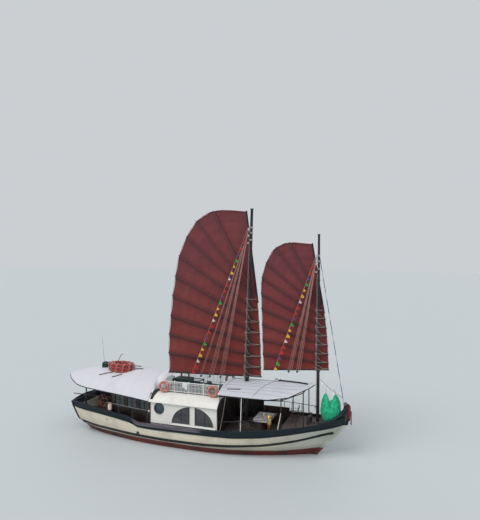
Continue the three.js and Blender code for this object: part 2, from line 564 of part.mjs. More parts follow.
// A hinged leaf in a wall across the hull: it opens outward, about knuckles on its port edge.
const KNUCKLE = 8.6;
const HINGE = { out: 8.95, half: 60, end: 250, strap: 150, plateHalf: 40 };
const LEAF_GAP = { side: 4, foot: 6 };
function leaf(name, finish, faceX, out) {
  const at = (depth) => faceX + out * depth;
  const span = (a, b) => [Math.min(at(a), at(b)), Math.max(at(a), at(b))];
  const low = DECK_Z + DOOR.sill + LEAF_GAP.foot;
  const high = DECK_Z + DOOR.height;
  const hingeY = DOOR.half + LEAF_GAP.side;
  const leafHalf = DOOR.half - LEAF_GAP.side;
  const parts = [box(...span(-DOOR.thick, 0), -leafHalf, leafHalf, low, high)];
  for (const z of [low + HINGE.end, high - HINGE.end]) {
    const plate = [z - HINGE.plateHalf, z + HINGE.plateHalf];
    const [foot, head] = [z - HINGE.half, z + HINGE.half];
    parts.push(rod([at(HINGE.out), hingeY, foot], [at(HINGE.out), hingeY, head], KNUCKLE, 12));
    parts.push(box(...span(-2, 12), DOOR.half - HINGE.strap, DOOR.half - 6, ...plate));
    parts.push(box(...span(2, 14), DOOR.half - 20, hingeY, ...plate));
  }
  place(name, finish, geometryOf(join(parts)));
}
leaf('cabin_door', 'darkWood', CABIN.front, 1);

// Sundeck: rails on the shoulder of the roof, lifebuoys outboard of them and a sliding hatch.
const RAIL = { top: 3790, low: 3235, radius: 20, aft: -2300, front: 1300, past: 18, inset: 22 };
const railPosts = [RAIL.aft, -1575, -623, 330, RAIL.front];
const buoyPlaces = { aft: -2270, fore: 970 };
const BUOY_GAP = 0.5;
for (const [name, side] of [['starboard', -1], ['port', 1]]) {
  const y = side * (CABIN.sunHalf - RAIL.inset);
  const buoyY = y + side * (RAIL.radius + BUOY_GAP + LIFEBUOY.tube);
  const parts = [RAIL.top, RAIL.low].map(
    (z) => rod([RAIL.aft - RAIL.past, y, z], [RAIL.front + RAIL.past, y, z], RAIL.radius, 8),
  );
  for (const x of railPosts) {
    parts.push(rod([x, y, CABIN.top + GAP], [x, y, RAIL.top], RAIL.radius, 8));
  }
  place(`sundeck_rail_${name}`, 'whitePaint', geometryOf(join(parts)));
  for (const [end, x] of Object.entries(buoyPlaces)) {
    const ring = new THREE.TorusGeometry(LIFEBUOY.ring, LIFEBUOY.tube, 8, 18);
    ring.rotateX(Math.PI / 2);
    ring.translate(x, buoyY, LIFEBUOY.z);
    place(`lifebuoy_${name}_${end}`, 'orange', outward(ring));
  }
}
const hatchFoot = CABIN.top + GAP;
const slideEnd = HATCH.front + HATCH.slide;
const hatchSides = [[HATCH.low, HATCH.low + HATCH.board], [HATCH.high - HATCH.board, HATCH.high]];
const hatchEnds = [[HATCH.aft, HATCH.aft + HATCH.board], [HATCH.front - HATCH.board, HATCH.front]];
const hatchParts = [
  ...hatchSides.map((across) => box(HATCH.aft, HATCH.front, ...across, hatchFoot, HATCH.top)),
  ...hatchEnds.map((along) => box(...along, HATCH.low, HATCH.high, hatchFoot, HATCH.top)),
  ...hatchSides.map((across) => box(HATCH.front - HATCH.lip, slideEnd, ...across, HATCH.railFoot, HATCH.top)),
  box(slideEnd - HATCH.board, slideEnd, HATCH.low, HATCH.high, HATCH.railFoot, HATCH.top),
  ...hatchSides.map((across) => box(slideEnd - HATCH.board, slideEnd, ...across, hatchFoot, HATCH.top)),
];
place('companion_hatch', 'darkGreen', geometryOf(join(hatchParts)));
place('companion_lid', 'darkGreen', box(HATCH.aft - HATCH.lip, HATCH.front + HATCH.lip, HATCH.low - HATCH.lip,
  HATCH.high + HATCH.lip, HATCH.top + GAP, HATCH.lid));

// Barrel roofs. Columns: x, half width, edge height, crest height, millimetres.
const AFT_ROOF = [[-3050, 2100, 2680, 4030], [-4100, 2100, 2800, 4090], [-5300, 2100, 2915, 4130],
  [-6600, 2100, 3030, 4110], [-7500, 2060, 3100, 4050], [-8100, 1900, 3130, 3970], [-8600, 1640, 3140, 3860],
  [-9100, 1280, 3190, 3720], [-9600, 900, 3280, 3580], [-9980, 500, 3360, 3480], [-10200, 160, 3400, 3420]];
const CANOPY = [[1420, 1900, 3430, 3860], [2600, 1900, 3430, 3900], [3600, 1900, 3430, 3905],
  [4450, 1890, 3440, 3915], [4850, 1760, 3480, 3930], [5570, 1450, 3560, 3965], [6280, 900, 3850, 4020],
  [6600, 540, 3960, 4050], [6810, 130, 4050, 4070]];
const ROOF_THICK = 60;
const CANOPY_THICK = 36;
const ACROSS = 12;
const roofRow = ([x, half, edge, crest], drop) => Array.from({ length: ACROSS + 1 }, (_, index) => {
  const share = (2 * index) / ACROSS - 1;
  return [x, share * half, crest - (crest - edge) * share * share - drop];
});
const roofBetween = (table, top, under) => loft(table.map((row) => [...roofRow(row, top),
  ...roofRow(row, under).reverse()]));
const roofBody = (table, thick) => roofBetween(table, 0, thick);
const OVER_ROOF = 3000;
const UNDER_ROOF = 1500;
const roofOver = (table, thick) => roofBetween(table, -OVER_ROOF, thick + GAP);
const roofFill = (table) => roofBetween(table, -GAP, UNDER_ROOF);
place('aft_roof', 'roofWhite', roofBody(AFT_ROOF, ROOF_THICK));
const MAST_HOLE = { low: 3000, high: 5000, radius: 165 };
const mainHole = rod([mastX(MAIN_MAST, MAST_HOLE.low), 0, MAST_HOLE.low],
  [mastX(MAIN_MAST, MAST_HOLE.high), 0, MAST_HOLE.high], MAST_HOLE.radius, 20);
place('front_canopy', 'roofWhite', geometryOf(cut(solid(roofBody(CANOPY, CANOPY_THICK)), [mainHole])));
const aftRoofOver = roofOver(AFT_ROOF, ROOF_THICK);
const canopyOver = roofOver(CANOPY, CANOPY_THICK);
const FOREDECK_ROOM = 5;
const deckBlocks = [
  box(-BEYOND, FOREDECK.aft - FOREDECK_ROOM, -BEYOND, BEYOND, 300, DECK_Z + GAP),
  underForedeck(FOREDECK.aft - FOREDECK_ROOM, GAP),
];

// Wheelhouse under the aft roof: dark walls with windows, a door aft and a window band forward.
const HOUSE_WALL = { thick: 50, sideTop: 3700, endTop: 4200 };
const HOUSE_WINDOW = { width: 640, low: 1950, high: 2680 };
const houseWindowsX = [-5750, -4860, -3970];
const aftWindows = [[620, 1260], [-1260, -620]];
// The band of windows above the cabin. Columns: low side, high side, foot, head.
const FRONT_BAND = [[-330, 330, 3240, 3760], [400, 1020, 3240, 3560], [-1020, -400, 3240, 3560]];
for (const [name, side] of [['starboard', -1], ['port', 1]]) {
  const low = side < 0 ? -HOUSE.side : HOUSE.side - HOUSE_WALL.thick;
  const wall = solid(box(HOUSE.aft, HOUSE.front, low, low + HOUSE_WALL.thick, DECK_Z + GAP,
    HOUSE_WALL.sideTop));
  const windows = houseWindowsX.map((x) => box(x, x + HOUSE_WINDOW.width, low - 100, low + 150,
    HOUSE_WINDOW.low, HOUSE_WINDOW.high));
  place(`wheelhouse_wall_${name}`, 'darkWood', geometryOf(cut(wall, [aftRoofOver, ...windows])));
}
const houseHalf = HOUSE.side - HOUSE_WALL.thick - GAP;
const houseEnd = (aft) => solid(box(aft, aft + HOUSE_WALL.thick, -houseHalf, houseHalf, DECK_Z + GAP,
  HOUSE_WALL.endTop));
place('wheelhouse_wall_front', 'darkWood', geometryOf(cut(houseEnd(HOUSE.front - HOUSE_WALL.thick), [
  aftRoofOver, throughway(HOUSE.front),
  ...FRONT_BAND.map((opening) => box(HOUSE.front - THROUGH_WALL, HOUSE.front + 100, ...opening)),
])));
place('wheelhouse_wall_aft', 'darkWood', geometryOf(cut(houseEnd(HOUSE.aft), [
  aftRoofOver, leafway(HOUSE.aft),
  ...aftWindows.map((across) => box(HOUSE.aft - THROUGH_WALL, HOUSE.aft + THROUGH_WALL, ...across,
    HOUSE_WINDOW.low, HOUSE_WINDOW.high)),
])));
leaf('wheelhouse_door', 'darkWood', HOUSE.aft, -1);

// Frame of the aft roof: posts and beams behind the wheelhouse.
const AFT_POST = { x: -8120, y: 1270, beam: 3150, radius: 45, top: 3700, crossBeam: 40, sideBeam: 34,
  strut: 30, strutTop: 3800 };
const HOUSE_POST_Y = HOUSE.side - 40;
const SUNK = 20;
const aftFrame = [rod([AFT_POST.x, -AFT_POST.y, AFT_POST.beam], [AFT_POST.x, AFT_POST.y, AFT_POST.beam],
  AFT_POST.crossBeam, 8)];
for (const side of [-1, 1]) {
  const head = [AFT_POST.x, side * AFT_POST.y];
  const middle = [(AFT_POST.x + HOUSE.aft) / 2, (side * (AFT_POST.y + HOUSE_POST_Y)) / 2];
  const toHouse = [HOUSE.aft - 5, side * HOUSE_POST_Y, AFT_POST.beam];
  aftFrame.push(rod([...head, DECK_Z - SUNK], [...head, AFT_POST.top], AFT_POST.radius, 10));
  aftFrame.push(rod([...head, AFT_POST.beam], toHouse, AFT_POST.sideBeam, 8));
  aftFrame.push(rod([...middle, AFT_POST.beam], [...middle, AFT_POST.strutTop], AFT_POST.strut, 8));
}
place('aft_roof_frame', 'navy', geometryOf(cut(join(aftFrame), [aftRoofOver, ...deckBlocks])));

// Helm: a raised grating with the pedestal and a spoked wheel on its aft face.
const HELM = { x: -3420, z: 2640, rim: 330, rimTube: 20, off: 90, hub: 45, hubAft: 120, hubGap: 0.4, grip: 90,
  spoke: 13, spokes: 4, turned: 0.1 };
const GRATING = { aft: -4300, half: 700, top: 1680 };
const PEDESTAL = { depth: 220, half: 170, foot: 1670, top: 2860 };
place('helm_pedestal', 'darkWood', geometryOf(join([
  box(GRATING.aft, HOUSE.front - 80, -GRATING.half, GRATING.half, DECK_Z + GAP, GRATING.top),
  box(HELM.x, HELM.x + PEDESTAL.depth, -PEDESTAL.half, PEDESTAL.half, PEDESTAL.foot, PEDESTAL.top),
])));
const wheelX = HELM.x - HELM.off;
const rim = new THREE.TorusGeometry(HELM.rim, HELM.rimTube, 6, 20);
rim.rotateY(Math.PI / 2);
rim.translate(wheelX, 0, HELM.z);
const helmParts = [outward(rim),
  turningRod([HELM.x - HELM.hubAft, 0, HELM.z], [HELM.x - HELM.hubGap, 0, HELM.z], HELM.hub)];
for (let spoke = 0; spoke < HELM.spokes; spoke += 1) {
  const turn = (spoke * Math.PI) / HELM.spokes + HELM.turned;
  const y = Math.cos(turn) * (HELM.rim + HELM.grip);
  const z = Math.sin(turn) * (HELM.rim + HELM.grip);
  helmParts.push(rod([wheelX, -y, HELM.z - z], [wheelX, y, HELM.z + z], HELM.spoke, 6));
}
place('helm_wheel', 'bronze', geometryOf(join(helmParts)));

// On the aft roof: a stack of ring floats and a whip aerial.
const FLOAT = { layers: 3, ring: 400, tube: 140, layerHeight: 200, x: -5980, y: -430, z: 3870, stretch: 1.75,
  steps: 6, sides: 20 };
const ANTENNA = { x: -7800, y: 300, base: 3900, collar: 4110, top: 6100, lean: 200, collarRadius: 55,
  foot: 14, tip: 6 };
const floatHole = FLOAT.ring - FLOAT.tube * 0.8;
const floatProfile = [[floatHole, 0]];
for (let layer = 0; layer < FLOAT.layers; layer += 1) {
  for (let step = 0; step < FLOAT.steps; step += 1) {
    const turn = Math.PI * (step / FLOAT.steps);
    floatProfile.push([FLOAT.ring + FLOAT.tube * (0.45 + 0.55 * Math.sin(turn)),
      FLOAT.layerHeight * (layer + 0.5 - 0.5 * Math.cos(turn))]);
  }
}
floatProfile.push([FLOAT.ring, FLOAT.layerHeight * FLOAT.layers],
  [floatHole, FLOAT.layerHeight * (FLOAT.layers - 0.4)], floatProfile[0]);
const floats = new THREE.LatheGeometry(floatProfile.map(([r, h]) => new THREE.Vector2(r, h)), FLOAT.sides);
floats.rotateX(Math.PI / 2);
floats.scale(FLOAT.stretch, 1, 1);
floats.translate(FLOAT.x, FLOAT.y, FLOAT.z);
place('life_floats', 'floatRed', geometryOf(cut(solid(outward(floats)), [roofFill(AFT_ROOF)])));
const whipTip = [ANTENNA.x - ANTENNA.lean, ANTENNA.y, ANTENNA.top];
place('antenna', 'mastPaint', geometryOf(cut(join([
  rod([ANTENNA.x, ANTENNA.y, ANTENNA.base], [ANTENNA.x, ANTENNA.y, ANTENNA.collar], ANTENNA.collarRadius, 10),
  rod([ANTENNA.x, ANTENNA.y, ANTENNA.collar - SUNK], whipTip, ANTENNA.foot, 6, ANTENNA.tip),
]), [roofFill(AFT_ROOF)])));

// Frame of the canopy: round posts with fore-and-aft and cross beams. Columns: x, half breadth.
const canopyPosts = [[1545, 1770], [2840, 1770], [5150, 1480], [6280, 800]];
const canopyFrame = [];
const CANOPY_BEAM = { z: 3340, frontZ: 3700, across: 30, along: 28, post: 32, postTop: 4100 };
canopyPosts.forEach(([x, y], index) => {
  const front = index === canopyPosts.length - 1;
  const beamZ = front ? CANOPY_BEAM.frontZ : CANOPY_BEAM.z;
  canopyFrame.push(rod([x, -y, beamZ], [x, y, beamZ], CANOPY_BEAM.across, 8));
  for (const side of [-1, 1]) {
    const [foot, head] = [DECK_Z - SUNK, CANOPY_BEAM.postTop];
    canopyFrame.push(rod([x, side * y, foot], [x, side * y, head], CANOPY_BEAM.post, 8));
    if (index > 0) {
      const [lastX, lastY] = canopyPosts[index - 1];
      canopyFrame.push(rod([lastX, side * lastY, CANOPY_BEAM.z], [x, side * y, beamZ], CANOPY_BEAM.along, 8));
    }
  }
});
const MAST_ROOM = 30;
const aroundFrame = [canopyOver, ...deckBlocks, mastRod(MAIN_MAST, MAST_ROOM)];
place('canopy_frame', 'navy', geometryOf(cut(join(canopyFrame), aroundFrame)));

// Side rails stand on the bulwark caps. Columns: x, height of the handrail.
const railPoints = stations.map((station) => onLine('rail', station));
function onCap(x) {
  const index = railPoints.findIndex(([along]) => along > x);
  const [from, to] = [railPoints[index - 1], railPoints[index]];
  const share = (x - from[0]) / (to[0] - from[0]);
  return { y: from[1] + (to[1] - from[1]) * share - PLANK / 2, z: from[2] + (to[2] - from[2]) * share };
}
const sideRails = {
  starboard: [[1560, 1955], [2840, 2105], [4500, 2300]],
  port: [[1560, 1955], [2840, 2105], [4500, 2300], [5700, 2370], [6700, 2420]],
};
const SIDE_RAIL = { post: 17, rail: 19, past: 15 };
for (const [name, side] of [['starboard', -1], ['port', 1]]) {
  const parts = [];
  const table = sideRails[name];
  table.forEach(([x, z], index) => {
    const y = side * onCap(x).y;
    parts.push(rod([x, y, onCap(x).z - SIDE_RAIL.past], [x, y, z], SIDE_RAIL.post, 8));
    if (index > 0) {
      const [lastX, lastZ] = table[index - 1];
      parts.push(rod([lastX - SIDE_RAIL.past, side * onCap(lastX).y, lastZ], [x + SIDE_RAIL.past, y, z],
        SIDE_RAIL.rail, 8));
    }
  });
  const cap = bulwarks[name].translate(0, 0, GAP);
  place(`side_rail_${name}`, 'whitePaint', geometryOf(largest(join(parts).subtract(cap))));
}

// Saloon furniture under the canopy, and the dark screen on its port side.
const TABLE = { aft: 3200, front: 4400, low: -850, high: 450, under: 1900, top: 1945, legAft: 3700,
  legFront: 3900 };
const tableLegs = [[-500, -300], [-50, 150]];
const BENCH = { aft: 3300, front: 4950, low: 1000, high: 1420, seat: 1640, backLow: 1370, backFoot: 1600,
  backTop: 2080 };
const SCREEN = { aft: CABIN.front + 30, front: 3150, low: 1830, high: 1862, top: 3700 };
place('saloon_table', 'whitePaint', geometryOf(cut(join([
  box(TABLE.aft, TABLE.front, TABLE.low, TABLE.high, TABLE.under, TABLE.top),
  ...tableLegs.map((across) => box(TABLE.legAft, TABLE.legFront, ...across, DECK_Z, TABLE.under + 10)),
]), deckBlocks)));
place('saloon_bench', 'darkWood', geometryOf(cut(join([
  box(BENCH.aft, BENCH.front, BENCH.low, BENCH.high, DECK_Z, BENCH.seat),
  box(BENCH.aft, BENCH.front, BENCH.backLow, BENCH.high, BENCH.backFoot, BENCH.backTop),
]), deckBlocks)));
const screen = solid(box(SCREEN.aft, SCREEN.front, SCREEN.low, SCREEN.high, DECK_Z, SCREEN.top));
place('port_screen', 'darkGreen', geometryOf(cut(screen, [canopyOver, ...deckBlocks])));

// Foredeck: windlass, the green net bundle and the forestay.
const WINDLASS = { aft: 6380, front: 6560, inner: 330, outer: 420, top: 2250, barrelX: 6470, barrelZ: 2110,
  barrelHalf: 480, barrel: 80, sillTop: 1900, sillHalf: 400, sillInset: 20 };
place('windlass', 'darkWood', geometryOf(cut(join([
  box(WINDLASS.aft, WINDLASS.front, -WINDLASS.outer, -WINDLASS.inner, DECK_Z, WINDLASS.top),
  box(WINDLASS.aft, WINDLASS.front, WINDLASS.inner, WINDLASS.outer, DECK_Z, WINDLASS.top),
  rod([WINDLASS.barrelX, -WINDLASS.barrelHalf, WINDLASS.barrelZ],
    [WINDLASS.barrelX, WINDLASS.barrelHalf, WINDLASS.barrelZ], WINDLASS.barrel, 12),
  box(WINDLASS.aft + WINDLASS.sillInset, WINDLASS.front - WINDLASS.sillInset, -WINDLASS.sillHalf,
    WINDLASS.sillHalf, DECK_Z, WINDLASS.sillTop),
]), deckBlocks)));
const BUNDLE = { x: 7710, z: 2590, halfLength: 600, halfWidth: 420, halfHeight: 1040 };
const bundle = new THREE.SphereGeometry(1, 16, 10);
bundle.rotateX(Math.PI / 2);
bundle.scale(BUNDLE.halfLength, BUNDLE.halfWidth, BUNDLE.halfHeight);
bundle.translate(BUNDLE.x, 0, BUNDLE.z);
const roundBulwarks = [bulwarks.starboard, bulwarks.port].flatMap((bulwark) => [0, GAP].map(
  (rise) => geometryOf(bulwark.translate(0, 0, rise))));
place('tarp_bundle', 'green', geometryOf(largest(cut(solid(bundle), [...deckBlocks, ...roundBulwarks]))));
const STAY = { top: 11850, footX: 8490, foot: 2960, radius: 13, mastGap: 0.5, headGap: 0.4 };
const stayRod = rod([mastX(FORE_MAST, STAY.top), 0, STAY.top], [STAY.footX, 0, STAY.foot], STAY.radius, 8);
const stay = cut(solid(stayRod), [mastRod(FORE_MAST, STAY.mastGap)]);
place('forestay', 'rope', geometryOf(stay.subtract(bowHead.translate(0, 0, STAY.headGap))));

// Sails. Columns of an outline: x, height. Battens: height at the luff, height at the leech.
const LEECH_STEPS = 24;
const LUFF_STEPS = 8;
const curveThrough = (points, y) => new THREE.CatmullRomCurve3(
  points.map(([x, z]) => new THREE.Vector3(x, y, z)),
);
const through = (points, count) => curveThrough(points, 0).getSpacedPoints(count).map(({ x, z }) => [x, z]);
const sails = {
  main: { mast: MAIN_MAST, y: SAIL_Y, boom: [[-2850, 3925], [3480, 4145]], boomRadius: 42,
    luff: [[3440, 4145], [3400, 6050], [3310, 7480], [3210, 8860]], peak: [2490, 14240],
    leech: [[-2800, 3927], [-2850, 5560], [-2800, 6660], [-2560, 9060], [-2200, 11200], [-1840, 12200],
      [-1360, 13100], [-890, 13700], [-430, 14030], [40, 14280], [760, 14380], [1600, 14340], [2490, 14240]],
    battens: [[4700, 5200], [5350, 6400], [6050, 7620], [6790, 8930], [7450, 10200], [8170, 11500],
      [8830, 12710]],
    fan: [[-890, 13700], [300, 14320]], batten: 24, yard: 52, sling: 0.55 },
  fore: { mast: FORE_MAST, y: FORE_SAIL_Y, boom: [[3590, 4600], [7590, 4910]], boomRadius: 36,
    luff: [[7560, 4908], [7500, 6320], [7420, 7340], [7280, 8400]], peak: [6600, 12220],
    leech: [[3620, 4603], [3560, 6000], [3520, 7500], [3470, 9000], [3450, 9800], [3540, 10350],
      [3730, 10980], [3940, 11430], [4160, 11810], [4400, 12030], [4910, 12280], [5500, 12330],
      [6600, 12220]],
    battens: [[5300, 5550], [5800, 6430], [6320, 7330], [6840, 8300], [7340, 9230], [7850, 10200],
      [8330, 11100]],
    fan: [[4400, 12030], [5250, 12310]], batten: 20, yard: 42, sling: 0.45 },
};
function crossing(line, z) {
  const index = Math.max(1, line.findIndex(([, height]) => height >= z));
  const [x0, z0] = line[index - 1];
  const [x1, z1] = line[index];
  return x0 + ((x1 - x0) * (z - z0)) / (z1 - z0);
}
// A rope along a smooth line in the sail's plane.
const ROPE_SIDES = 6;
const ROPE_RADIUS = 14;
function sweep(points, y, radius, steps) {
  const extrudePath = curveThrough(points, y);
  const section = new THREE.Shape(circle(0, 0, radius, ROPE_SIDES).map(([a, b]) => new THREE.Vector2(a, b)));
  return outward(new THREE.ExtrudeGeometry(section, { steps, extrudePath, bevelEnabled: false }));
}
// A collar round the mast that carries a spar: a ring on the mast's axis and an arm to port.
const COLLAR = { below: 40, room: 0.35, thick: 26, half: 35, armHalf: 30, armRise: 25, armIn: 8 };
function collar(mast, z, y) {
  const inner = (mastRadius(mast, z - COLLAR.below) + COLLAR.room) / Math.cos(Math.PI / MAST_SIDES);
  const outer = inner + COLLAR.thick;
  const profile = [[inner, -COLLAR.half], [outer, -COLLAR.half], [outer, COLLAR.half], [inner, COLLAR.half],
    [inner, -COLLAR.half]];
  const ring = new THREE.LatheGeometry(profile.map(([r, h]) => new THREE.Vector2(r, h)), MAST_SIDES,
    Math.PI / MAST_SIDES);
  ring.applyQuaternion(turnTo(new THREE.Vector3(mast.topX - mastX(mast, DECK_Z), 0, mast.top - DECK_Z)));
  ring.translate(mastX(mast, z), 0, z);
  const arm = box(mastX(mast, z) - COLLAR.armHalf, mastX(mast, z) + COLLAR.armHalf, inner + COLLAR.armIn, y,
    z - COLLAR.armRise, z + COLLAR.armRise);
  return [outward(ring), arm];
}
const YARD = { ahead: 30, below: 220, above: 60 };
const FAN_START = { aft: 150, up: 250, drop: 10 };
const SPAR_ROOM = 0.4;
const ROPE_ROOM = 0.5;
const SLING_RADIUS = 24;
for (const [name, sail] of Object.entries(sails)) {
  const luff = through(sail.luff, LUFF_STEPS);
  const leech = through(sail.leech, LEECH_STEPS);
  const [boomAft, boomFront] = sail.boom;
  const boomRod = (radius) => rod([boomAft[0], sail.y, boomAft[1]], [boomFront[0], sail.y, boomFront[1]],
    radius, 12);
  const [throatX, throatZ] = sail.luff[sail.luff.length - 1];
  const [peakX, peakZ] = sail.peak;
  const yardRod = (radius, longer = 0) => rod([throatX + YARD.ahead, sail.y, throatZ - YARD.below - longer],
    [peakX, sail.y, peakZ + YARD.above + longer], radius, 12);
  const battenY = sail.y - CLOTH_THICK / 2 - GAP - sail.batten;
  const ropes = (extra) => [sweep(sail.luff, sail.y, ROPE_RADIUS + extra, LUFF_STEPS),
    sweep(sail.leech, sail.y, ROPE_RADIUS + extra, LEECH_STEPS)];
  const battens = sail.battens.map(([luffZ, leechZ]) => rod([crossing(leech, leechZ), battenY, leechZ],
    [crossing(luff, luffZ), battenY, luffZ], sail.batten, 6));
  for (const [x, z] of sail.fan) {
    battens.push(rod([x, battenY, z - FAN_START.drop],
      [throatX - FAN_START.aft, battenY, throatZ + FAN_START.up], sail.batten, 6));
  }
  const spars = [boomRod(sail.boomRadius + SPAR_ROOM), yardRod(sail.yard + SPAR_ROOM, 1)];
  place(`${name}_battens`, 'battenBrown', geometryOf(cut(join([...ropes(0), ...battens]), spars)));
  const outline = [...luff, ...leech.slice().reverse()];
  const cloth = solid(prism(outline, 'xz', sail.y - CLOTH_THICK / 2, sail.y + CLOTH_THICK / 2));
  place(`${name}_sail_cloth`, 'sailMaroon', geometryOf(cut(cloth, [...ropes(ROPE_ROOM), ...spars])));
  const boomRise = (boomFront[1] - boomAft[1]) / (boomFront[0] - boomAft[0]);
  const boomZ = boomAft[1] + boomRise * (mastX(sail.mast, boomFront[1]) - boomAft[0]);
  const boomCollar = collar(sail.mast, boomZ, sail.y);
  place(`${name}_boom`, 'battenBrown', geometryOf(join([boomRod(sail.boomRadius), ...boomCollar])));
  const slingZ = throatZ + (peakZ - throatZ) * sail.sling;
  const slingX = throatX + (peakX - throatX) * sail.sling;
  const slingRod = rod([mastX(sail.mast, slingZ), sail.y, slingZ], [slingX, sail.y, slingZ], SLING_RADIUS, 8);
  const yardCollar = collar(sail.mast, slingZ, sail.y);
  place(`${name}_yard`, 'battenBrown', geometryOf(join([yardRod(sail.yard), slingRod, ...yardCollar])));
}

export default group;
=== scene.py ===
# %% [markdown]
# # A junk with two fan sails
# This junk is a wooden motor boat that also carries two fan-shaped sails. Its construction is
# already made at full size, so this lesson dresses it: paint, cloth, rope, glass and small gear.
# The first cell loads that model. Everything here is in metres, +X to the bow, +Y to port, +Z up,
# with the waterline at zero height.

# %% Load the frame
import math
import random

import bpy
from mathutils import Matrix, Vector
from mathutils.bvhtree import BVHTree


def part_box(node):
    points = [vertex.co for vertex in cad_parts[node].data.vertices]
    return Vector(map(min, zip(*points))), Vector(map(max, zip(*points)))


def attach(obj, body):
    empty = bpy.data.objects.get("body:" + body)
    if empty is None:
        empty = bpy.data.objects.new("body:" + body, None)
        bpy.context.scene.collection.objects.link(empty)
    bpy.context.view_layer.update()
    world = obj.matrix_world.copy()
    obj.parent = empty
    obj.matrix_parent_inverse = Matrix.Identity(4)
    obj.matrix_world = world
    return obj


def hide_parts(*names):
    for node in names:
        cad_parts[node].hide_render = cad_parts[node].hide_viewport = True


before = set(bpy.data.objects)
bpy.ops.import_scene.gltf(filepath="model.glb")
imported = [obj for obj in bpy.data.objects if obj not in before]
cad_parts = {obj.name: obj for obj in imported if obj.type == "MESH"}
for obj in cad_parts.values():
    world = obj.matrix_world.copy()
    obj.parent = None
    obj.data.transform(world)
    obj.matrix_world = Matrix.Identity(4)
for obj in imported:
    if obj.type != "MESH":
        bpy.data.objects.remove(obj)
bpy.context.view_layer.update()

# %% [markdown]
# ## The camera
# The photograph was taken from high up and a little forward of the boat's beam, looking level. The
# eye's place was worked out from things of known size on the boat, which sits in the lower left of
# the picture because the lens points over it. A level lens keeps the masts upright, which a tilted
# one wouldn't. Its small shift puts the horizon ten pixels above the middle, as in the picture.

# %% Camera
EYE = Vector((12.41, -28.93, 11.88))
HEADING = math.radians(19.5)
SENSOR = 36.0
PICTURE_LONG = 520
FOCAL = 500
HORIZON_RISE = 10
FAR_AWAY = 600


def show(name, data):
    """Puts data into the scene under a name."""
    holder = bpy.data.objects.new(name, data)
    bpy.context.scene.collection.objects.link(holder)
    return holder


lens = bpy.data.cameras.new("view")
lens.sensor_width = SENSOR
lens.lens = SENSOR * FOCAL / PICTURE_LONG
lens.shift_y = -HORIZON_RISE / PICTURE_LONG
lens.clip_end = FAR_AWAY
camera = show("view", lens)
camera.location = EYE
camera.rotation_euler = (math.pi / 2, 0, HEADING)
bpy.context.scene.camera = camera
print("lens", round(lens.lens, 2), "mm")

# %% [markdown]
# ## Light
# The light is a wide pale dome with one very soft sun, which models the planks gently. A small
# sharp lamp would give hard shadows.

# %% Light
SKY = {"Color": (0.80, 0.83, 0.86, 1), "Strength": 0.75}
world = bpy.data.worlds.new("sky")
world.use_nodes = True
for socket, value in SKY.items():
    world.node_tree.nodes["Background"].inputs[socket].default_value = value
bpy.context.scene.world = world
bpy.context.scene.view_settings.view_transform = "Standard"


def lamp(name, heading, height, strength, softness, color):
    light = bpy.data.lights.new(name, "SUN")
    light.energy = strength
    light.angle = math.radians(softness)
    light.color = color
    show(name, light).rotation_euler = (math.radians(90 - height), 0, math.radians(heading))


lamp("soft_sun", heading=-35, height=52, strength=1.5, softness=40, color=(1.0, 0.98, 0.95))
lamp("sky_fill", heading=50, height=35, strength=0.35, softness=80, color=(0.9, 0.95, 1.0))

# %% [markdown]
# ## Shader maths in plain Python
# A material is a graph of nodes. Built by hand it soon becomes hard to read, so a small class wraps
# a socket and lets it be added, multiplied and compared like a number. Each step adds one Math
# node. Any other node comes from one method that takes its type, its settings and its sockets.

# %% Sockets as values
class Value:
    """A node's output that takes part in ordinary arithmetic."""

    def __init__(self, recipe, link):
        self.recipe = recipe
        self.link = link

    def maths(self, operation, first, second=0.0):
        return self.recipe.node("ShaderNodeMath", {"operation": operation}, {0: first, 1: second})

    def __add__(self, other):
        return self.maths("ADD", self, other)

    def __sub__(self, other):
        return self.maths("SUBTRACT", self, other)

    def __rsub__(self, other):
        return self.maths("SUBTRACT", other, self)

    def __mul__(self, other):
        return self.maths("MULTIPLY", self, other)

    def __truediv__(self, other):
        return self.maths("DIVIDE", self, other)

    def wave(self):
        return self.maths("SINE", self)

    def size(self):
        return self.maths("ABSOLUTE", self)

    def between(self, low, high):
        """0 at low and 1 at high, smoothly, and flat outside."""
        return self.recipe.node("ShaderNodeMapRange", {"interpolation_type": "SMOOTHSTEP"},
                                {"Value": self, "From Min": low, "From Max": high})

    def joints(self, pitch, low, high):
        """1 on the thin lines between strips of that pitch, and 0 on the strips."""
        return (self.maths("FRACT", self / pitch) - 0.5).size().between(low, high)


# %% [markdown]
# ## A recipe for one surface
# A recipe holds a material while it is made. It offers the patterns that every finish here is mixed
# from: the place along an axis, the way a surface faces, a painted line and a cloud of noise. Its
# last step closes the graph with a single shader, so no finish can end up half joined.

